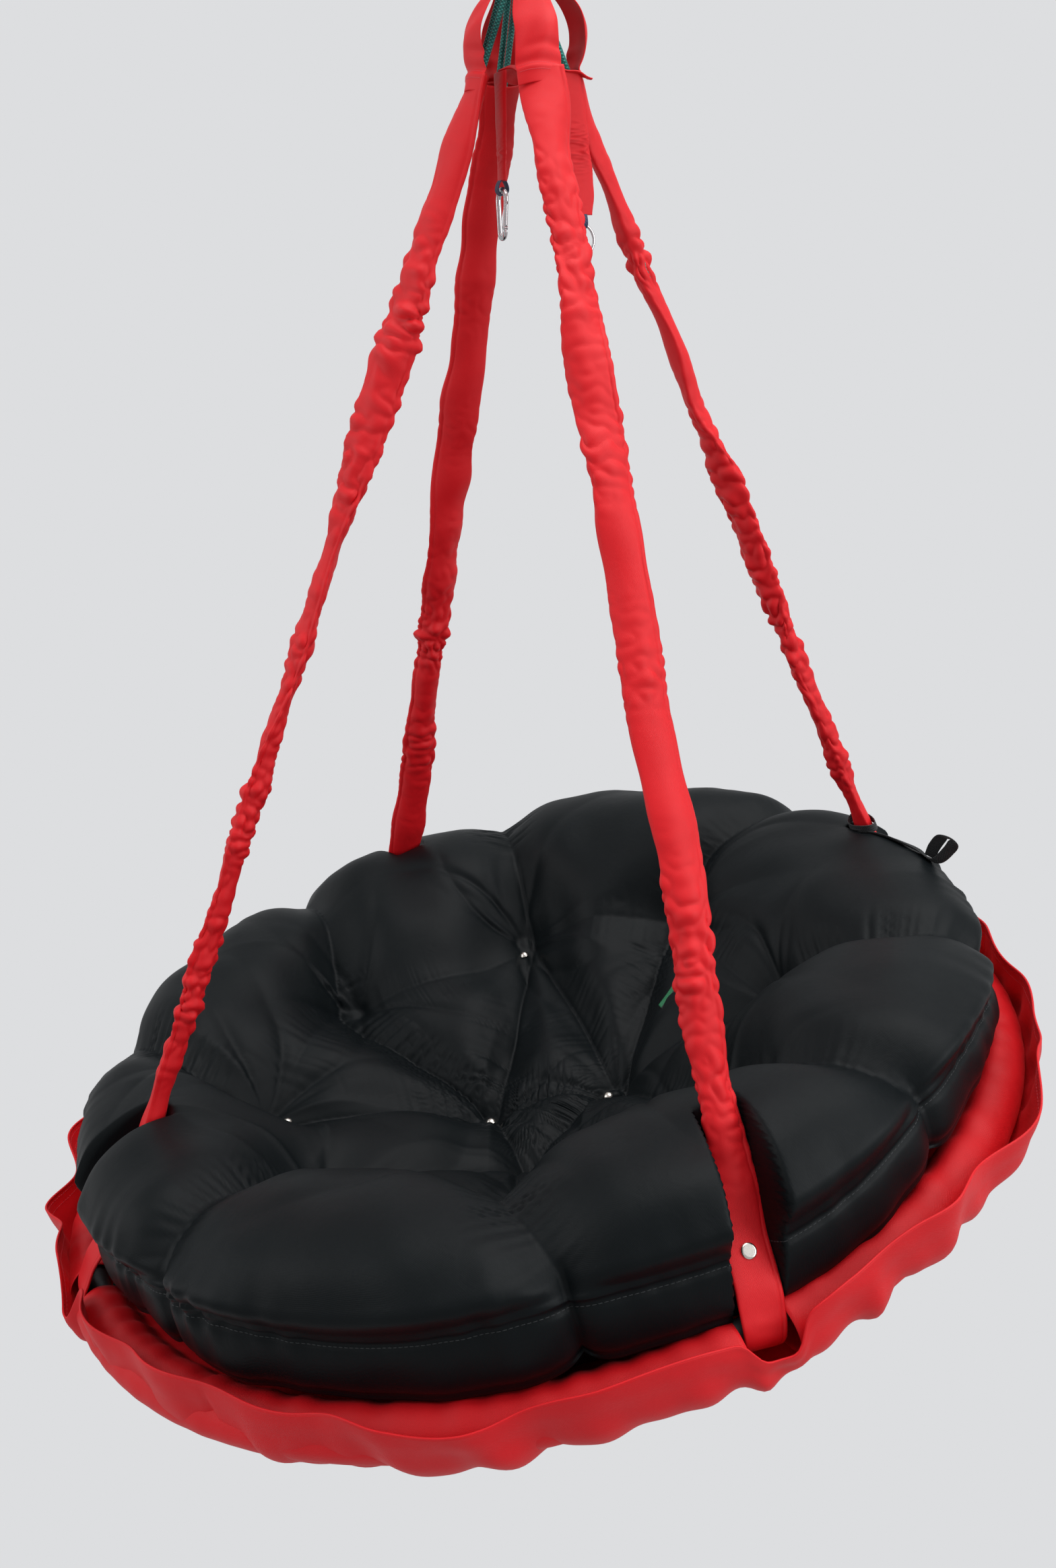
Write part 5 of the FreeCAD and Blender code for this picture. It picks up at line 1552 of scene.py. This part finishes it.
    def tie(self) -> None:
        """The webbing tie: a loop round the back sleeve, sewn to the cushion's edge, with a folded tab."""
        rope = ROPES[Side.BACK]
        turn = np.linspace(0, 2 * math.pi, 60)
        height = 0.146 + 0.0015 * np.sin(2 * turn)
        line = rope.up(height, 0.0228 * np.cos(turn), 0.0122 * np.sin(turn) - 0.0004)
        ring = self.ribbon("cushion_tie_loop", line, np.tile(rope.down, (60, 1)), 0.010, 0.0012,
                           BLACK_WEBBING)
        polar = ((90, 0.462, 0.139), (86, 0.482, 0.134), (82, 0.500, 0.122), (79.2, 0.510, 0.112),
                 (77.6, 0.524, 0.126), (77.0, 0.529, 0.138),
                 (77.8, 0.521, 0.143), (79, 0.513, 0.130), (80, 0.509, 0.115))
        keys = np.array([(r * math.cos(math.radians(a)), r * math.sin(math.radians(a)), z) for a, r,
                         z in polar])
        path = SEAT.world(spline(keys, 0.0018))
        side = np.cross(np.gradient(path, axis=0), SEAT.turned(np.array([0.0, 0.75, 0.65]))[None, :])
        tab = self.ribbon("cushion_tie_tab", path, side, 0.014, 0.0013, BLACK_WEBBING)
        for piece, size in ((ring, (0.010, float(lengths(line)[-1]))),
                            (tab, (0.014, float(lengths(path)[-1])))):
            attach(piece, "seat")
        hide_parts("cushion_tie")

    def label(self) -> None:
        """The blank woven label: a thin tab that stands off the cloth along one of its edges."""
        low, high = corners("cushion_label")
        middle = SEAT.local(((low + high) / 2)[None])[0]
        turn = math.radians(self.LABEL_TURN)
        along = np.array([math.cos(turn), math.sin(turn), 0.0])
        across = np.array([-math.sin(turn), math.cos(turn), 0.0])
        u = np.linspace(-0.5, 0.5, 40)[:, None]
        v = np.linspace(0, 1, 13)[None, :]
        long, wide = self.LABEL_SIZE
        x = middle[0] + along[0] * u * long + across[0] * (v - 0.5) * wide
        y = middle[1] + along[1] * u * long + across[1] * (v - 0.5) * wide
        z = self.base(x, y) + self.relief(x, y) + 0.0012 + 0.0045 * v ** 1.6 + 0.0012 * np.sin(u * 7) * v
        tab = surface("blank_label", SEAT.world(np.stack([x, y, z], axis=-1)), LABEL)
        thicken(tab, 0.0006, 1.0)
        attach(tab, "seat")
        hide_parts("cushion_label")


# --- seat fabric --------------------------------------------------------------------------------
@dataclass
class SeatFabric:
    """The red cloth of the seat: the dished sling with its casing round the hoop, and the flounce outside."""

    sag: float = 0.125
    notch_half: float = 0.0205
    around: int = 720
    sling_wall: float = 0.0010
    flounce_wall: float = 0.0011
    disc: float = 1.15
    disc_area: float = 0.97
    casing_step: float = 0.0034
    flounce_step: float = 0.0028
    hem_wave: float = 0.0036
    hem_rise: float = 0.0030
    belly: float = 0.0022
    crinkle: float = 0.0016
    hem_radius: float = 0.0012
    stitch_pitch: float = 0.0042
    stitch_length: float = 0.0033
    thread: float = 0.0004

    SLING_END = 0.4689
    CASING = ((0.4755, -0.0085), (0.4835, 0.0035), (0.4885, 0.0085), (0.5, 0.0143), (0.511, 0.0135),
              (0.5215, 0.0075), (0.529, -0.0015),
              (0.5315, -0.013), (0.526, -0.025), (0.512, -0.0325), (0.496, -0.0315), (0.481, -0.0275),
              (0.466, -0.0215))
    FLOUNCE = ((0.456, -0.0255), (0.470, -0.0325), (0.488, -0.0385), (0.506, -0.041), (0.523, -0.035),
               (0.5345, -0.020), (0.539, 0.0), (0.542, 0.013), (0.543, 0.026))
    HEM_OUT = ((0, -4), (10, 6), (16, 3), (22, 14), (29, 8), (37, 24), (46, 16), (55, 4), (70, -4), (84, 2),
               (96, 8), (112, -2), (128, 7),
               (143, -3), (160, 8), (172, 2), (184, 6), (198, -4), (214, 9), (228, -4), (238, 6), (246, -8),
               (253, 6), (260, -16), (272, -20), (285, -19), (300, -16), (316, -12), (324, 2), (331, 12),
               (337, -4), (344, 8), (352, 0), (360, -4))
    HEM_UP = ((0, -6), (8, 4), (22, 12), (30, -2), (43, 14), (60, 8), (80, 4), (100, 10), (120, 2), (140, 9),
              (160, 4), (180, -2), (200, 8), (220, 4),
              (240, 14), (247, -2), (256, 10), (270, 6), (290, 14), (305, 16), (318, 9), (326, -4),
              (333, 2), (341, 10), (352, 4), (360, -6))

    def gap_at_ropes(self, turn: Array) -> Array:
        """Distance along the hoop from each angle to the nearest rope."""
        quarter = np.abs((turn / (math.pi / 2) + 0.5) % 1 - 0.5) * math.pi / 2
        return quarter * SEAT.radius

    def sling(self) -> None:
        """The dish and the casing: height -sag (1 - (r / edge)^2) inside, then once round the hoop's tube."""
        edge = SEAT.radius - SEAT.tube
        r = np.linspace(0.002, self.SLING_END, 44)
        dish = np.stack([r, -self.sag * (1 - (r / edge) ** 2)], axis=1)
        casing = spline(np.vstack([dish[-1:], np.array(self.CASING)]), self.casing_step)
        profile = np.vstack([dish, casing[1:]])
        turn = np.linspace(0, 2 * math.pi, self.around, endpoint=False)[None, :]
        tangent = unit(np.gradient(profile, axis=0))
        normal = np.stack([-tangent[:, 1], tangent[:, 0]], axis=1)
        s = lengths(profile)[:, None]
        s_edge = s[len(dish) - 1, 0]
        gathers = 0.0012 * whole_wander(turn, 3, 50, 110, 9) * np.exp(-np.abs(s - s_edge - 0.03) / 0.030)
        hollow = (0.0016 * plane_wander(profile[:, :1] * np.cos(turn), profile[:, :1] * np.sin(turn), 8, 12,
                                        40) * (s < s_edge))
        seam = -0.0012 * hill(s, s_edge - 0.004, 0.002)
        push = np.clip(gathers + seam, -0.0014, 0.0016) + hollow * ramp(0.0, 0.08, s_edge - s)
        radius = profile[:, :1] + normal[:, :1] * push
        height = profile[:, 1:] + normal[:, 1:] * push
        grid = np.stack([radius * np.cos(turn), radius * np.sin(turn), height + 0 * turn], axis=-1)
        middle_r = (profile[1:, 0] + profile[:-1, 0]) / 2
        past_dish = (middle_r > self.SLING_END - 0.004) | (np.arange(len(middle_r)) >= len(dish) - 2)
        clear = (self.gap_at_ropes(turn + math.pi / self.around) < self.notch_half) & past_dish[:, None]
        sling = surface("sling_fabric", SEAT.world(grid), RED, closed=True, caps=(True, False), keep=~clear)
        thicken(sling, self.sling_wall)
        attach(sling, "seat")
        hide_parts("seat_sling")

    def flounce_grid(self) -> Array:
        """The flounce's outer face in the hoop's plane.

        The profile is carried round the seat. Its hem end is moved out and up by the hem's tables and by
        seeded waves, with a weight of the power 1.7 of the way along, and it dips at each rope.

        Returns:
            Points by station, angle and coordinate.
        """
        profile = spline(np.array(self.FLOUNCE), self.flounce_step)
        s = (lengths(profile) / lengths(profile)[-1])[:, None]
        turn = np.linspace(0, 2 * math.pi, self.around, endpoint=False)[None, :]
        degrees = np.degrees(turn)
        weight = s ** 1.7
        out = eased(degrees, self.HEM_OUT) / 1000 + self.hem_wave * whole_wander(turn, 21, 12, 30, 7)
        rise = eased(degrees, self.HEM_UP) / 1000 + self.hem_rise * whole_wander(turn, 22, 12, 26, 7)
        gap = self.gap_at_ropes(turn)
        dip = np.exp(-((gap / 0.023) ** 4))
        rise = rise * (1 - dip) - 0.036 * dip
        out = out * (1 - 0.9 * dip) + 0.001 * dip
        fold = np.maximum(np.sin(math.pi * whole_wander(turn, 23, 10, 22, 5)), 0) ** 3
        belly = (self.belly * whole_wander(turn + 0.05 * s, 24, 16, 46, 8) * np.sin(math.pi * s)
                 * (0.45 + fold))
        slant = whole_wander(turn + 0.10 * s, 25, 40, 80, 8)
        crinkle = self.crinkle * slant * (np.sin(math.pi * np.clip(s * 1.05, 0, 1)) + dip * s)
        tangent = unit(np.gradient(profile, axis=0))
        normal = np.stack([tangent[:, 1], -tangent[:, 0]], axis=1)
        push = belly + crinkle
        radius = profile[:, :1] + normal[:, :1] * push + out * weight
        height = profile[:, 1:] + normal[:, 1:] * push + rise * weight
        return np.stack([radius * np.cos(turn), radius * np.sin(turn), height], axis=-1)

    def flounce(self) -> None:
        """Makes the flounce, its rolled hem and two rows of topstitching."""
        grid = SEAT.world(self.flounce_grid())
        sheet = surface("rim_flounce_fabric", grid, RED, closed=True, flip=True)
        thicken(sheet, self.flounce_wall)
        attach(sheet, "seat")
        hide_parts("rim_flounce")
        hem = grid[-1]
        along = np.roll(hem, -1, axis=0) - np.roll(hem, 1, axis=0)
        inward = unit(grid[-4] - hem) * self.hem_radius / 2
        piece = surface("flounce_hem", tube_ring(hem + inward, along, self.hem_radius, 8), RED, closed=True)
        join_ends(piece)
        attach(piece, "seat")
        rows = [seam_row(grid[row], grid[row - 2], self.stitch_pitch) for row in (-3, -6)]
        places, along, out = (np.vstack(column) for column in zip(*rows))
        sewn = stitches("flounce_stitching", places, along, out, self.stitch_length, self.thread, RED_THREAD)
        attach(sewn, "seat")

    def build(self) -> None:
        """Makes the sling and the flounce."""
        self.sling()
        self.flounce()


def tube_ring(line: Array, along: Array, radius: float, sides: int) -> Array:
    """Rings of a tube round a closed line.

    Args:
        line: centreline that ends where it starts, without its last point.
        along: direction of the line at each point.
        radius: radius of the tube.
        sides: points in each ring.

    Returns:
        Points by station and side, the first station repeated at the end.
    """
    tangent = unit(along)
    up = unit(Z - tangent * (tangent @ Z)[:, None])
    side = np.cross(tangent, up)
    a = np.linspace(0, 2 * math.pi, sides, endpoint=False)
    ring = (line[:, None] + radius * (np.cos(a)[None, :, None] * up[:, None]
                                      + np.sin(a)[None, :, None] * side[:, None]))
    return np.concatenate([ring, ring[:1]])


def join_ends(obj: bpy.types.Object) -> None:
    """Merges the doubled first and last ring of a closed tube, and turns its faces outwards."""
    work = bmesh.new()
    work.from_mesh(obj.data)
    bmesh.ops.remove_doubles(work, verts=work.verts, dist=1e-6)
    bmesh.ops.recalc_face_normals(work, faces=work.faces)
    work.to_mesh(obj.data)
    work.free()


# --- carried-over hardware ----------------------------------------------------------------------
HARDWARE = {
    "swivel_upper_eye": STEEL, "swivel_lower_eye": STEEL, "swivel_nut": STEEL, "swivel_bearing": BEARING,
    "carabiner_frame": STEEL, "carabiner_gate": STEEL, "carabiner_gate_pin": BEARING,
    "snap_hook_frame": STEEL, "snap_hook_gate": STEEL, "snap_hook_gate_pin": BEARING, "strap_ring": STEEL,
    "snap_caps": NICKEL, "snap_sockets": NICKEL, "cushion_buttons": NICKEL, "cushion_back_buttons": PLASTIC,
    "hoop": HOOP_PAINT,
}


def dress_hardware() -> None:
    """Gives every CAD node that stays in sight its finish."""
    for name, material in HARDWARE.items():
        node = frame["nodes"][name]
        node.data.materials.clear()
        node.data.materials.append(material)
        LOG.info("dressed %s", name)


# --- studio -------------------------------------------------------------------------------------
@dataclass
class Studio:
    """Camera, soft lights and a pale floor."""

    eye: tuple[float, float, float] = (1.604, -0.653, -0.502)
    heading: tuple[float, float] = (-0.926, 0.377)
    pitch: float = -14.76
    roll: float = -0.69
    lens: float = 38.64
    backdrop: tuple[float, float, float] = (0.723, 0.730, 0.745)
    surround: float = 0.62
    floor_height: float = -2.3
    floor_flat: float = 8.0
    floor_edge: float = 14.0

    def camera(self) -> None:
        """A level camera turned to the heading, tipped by the pitch and rolled about its own axis."""
        data = bpy.data.cameras.new("camera")
        data.lens = self.lens
        data.sensor_width = 36.0
        data.clip_end = 60.0
        camera = bpy.data.objects.new("camera", data)
        bpy.context.scene.collection.objects.link(camera)
        p, r = math.radians(self.pitch), math.radians(self.roll)
        forward = Vector((self.heading[0] * math.cos(p), self.heading[1] * math.cos(p),
                          math.sin(p))).normalized()
        right = forward.cross(Vector((0, 0, 1))).normalized()
        up = right.cross(forward)
        right, up = right * math.cos(r) + up * math.sin(r), up * math.cos(r) - right * math.sin(r)
        turn = Matrix((right, up, -forward)).transposed()
        camera.matrix_world = Matrix.Translation(self.eye) @ turn.to_4x4()
        bpy.context.scene.camera = camera

    def lamp(self, name: str, place: tuple[float, float, float], size: float, power: float,
             tint: tuple[float, float, float]) -> None:
        """A square soft light at a place, aimed at the seat."""
        data = bpy.data.lights.new(name, "AREA")
        data.size = size
        data.energy = power
        data.color = tint
        lamp = bpy.data.objects.new(name, data)
        bpy.context.scene.collection.objects.link(lamp)
        lamp.location = place
        aim = Vector((0, 0, -1.15)) - Vector(place)
        lamp.rotation_euler = aim.to_track_quat("-Z", "Y").to_euler()

    def floor(self) -> None:
        """A pale floor that curves up into a backdrop, evenly lit."""
        r = np.linspace(0, self.floor_edge, 60)[None, :]
        turn = np.linspace(0, 2 * math.pi, 96, endpoint=False)[:, None]
        height = self.floor_height + self.floor_edge * ramp(self.floor_flat, self.floor_edge, r) + 0 * turn
        grid = np.stack([r * np.cos(turn), r * np.sin(turn), height], axis=-1)[:, 1:]
        material, _, shader = new_material("pale_floor")
        shader.inputs["Base Color"].default_value = (0.0, 0.0, 0.0, 1)
        shader.inputs["Roughness"].default_value = 1.0
        shader.inputs["Specular IOR Level"].default_value = 0.0
        shader.inputs["Emission Color"].default_value = (*self.backdrop, 1)
        shader.inputs["Emission Strength"].default_value = 1.0
        floor = surface("floor", np.swapaxes(grid, 0, 1), material, closed=True, caps=(True, False))
        floor.visible_diffuse = False
        floor.visible_glossy = False

    def world(self) -> None:
        """An even pale surrounding light."""
        world = bpy.data.worlds.new("studio")
        bpy.context.scene.world = world
        world.use_nodes = True
        light = world.node_tree.nodes["Background"]
        light.inputs[0].default_value = (*self.backdrop, 1)
        light.inputs[1].default_value = self.surround

    def build(self) -> None:
        """Makes the camera, the lights and the floor."""
        self.camera()
        self.lamp("overhead", (0.3, 0.6, 2.2), 3.2, 90, (1.0, 1.0, 1.0))
        self.lamp("window", (2.6, 2.2, 0.2), 2.2, 60, (0.97, 0.985, 1.0))
        self.lamp("left_fill", (-0.6, -3.0, 0.2), 2.4, 30, (0.98, 0.99, 1.0))
        self.world()
        self.floor()
        bpy.context.scene.view_settings.view_transform = "Standard"


def main() -> None:
    """Builds the studio, the cords and every sub-assembly in order, and dresses the hardware."""
    logging.basicConfig(level=logging.INFO, format="%(name)s: %(message)s")
    Studio().build()
    for part in (Ropes(), Sleeves(), Hub(), ShortStraps(), Cushion(), SeatFabric()):
        part.build()
        LOG.info("%s built", type(part).__name__)
    dress_hardware()


if __name__ == "__main__":
    main()
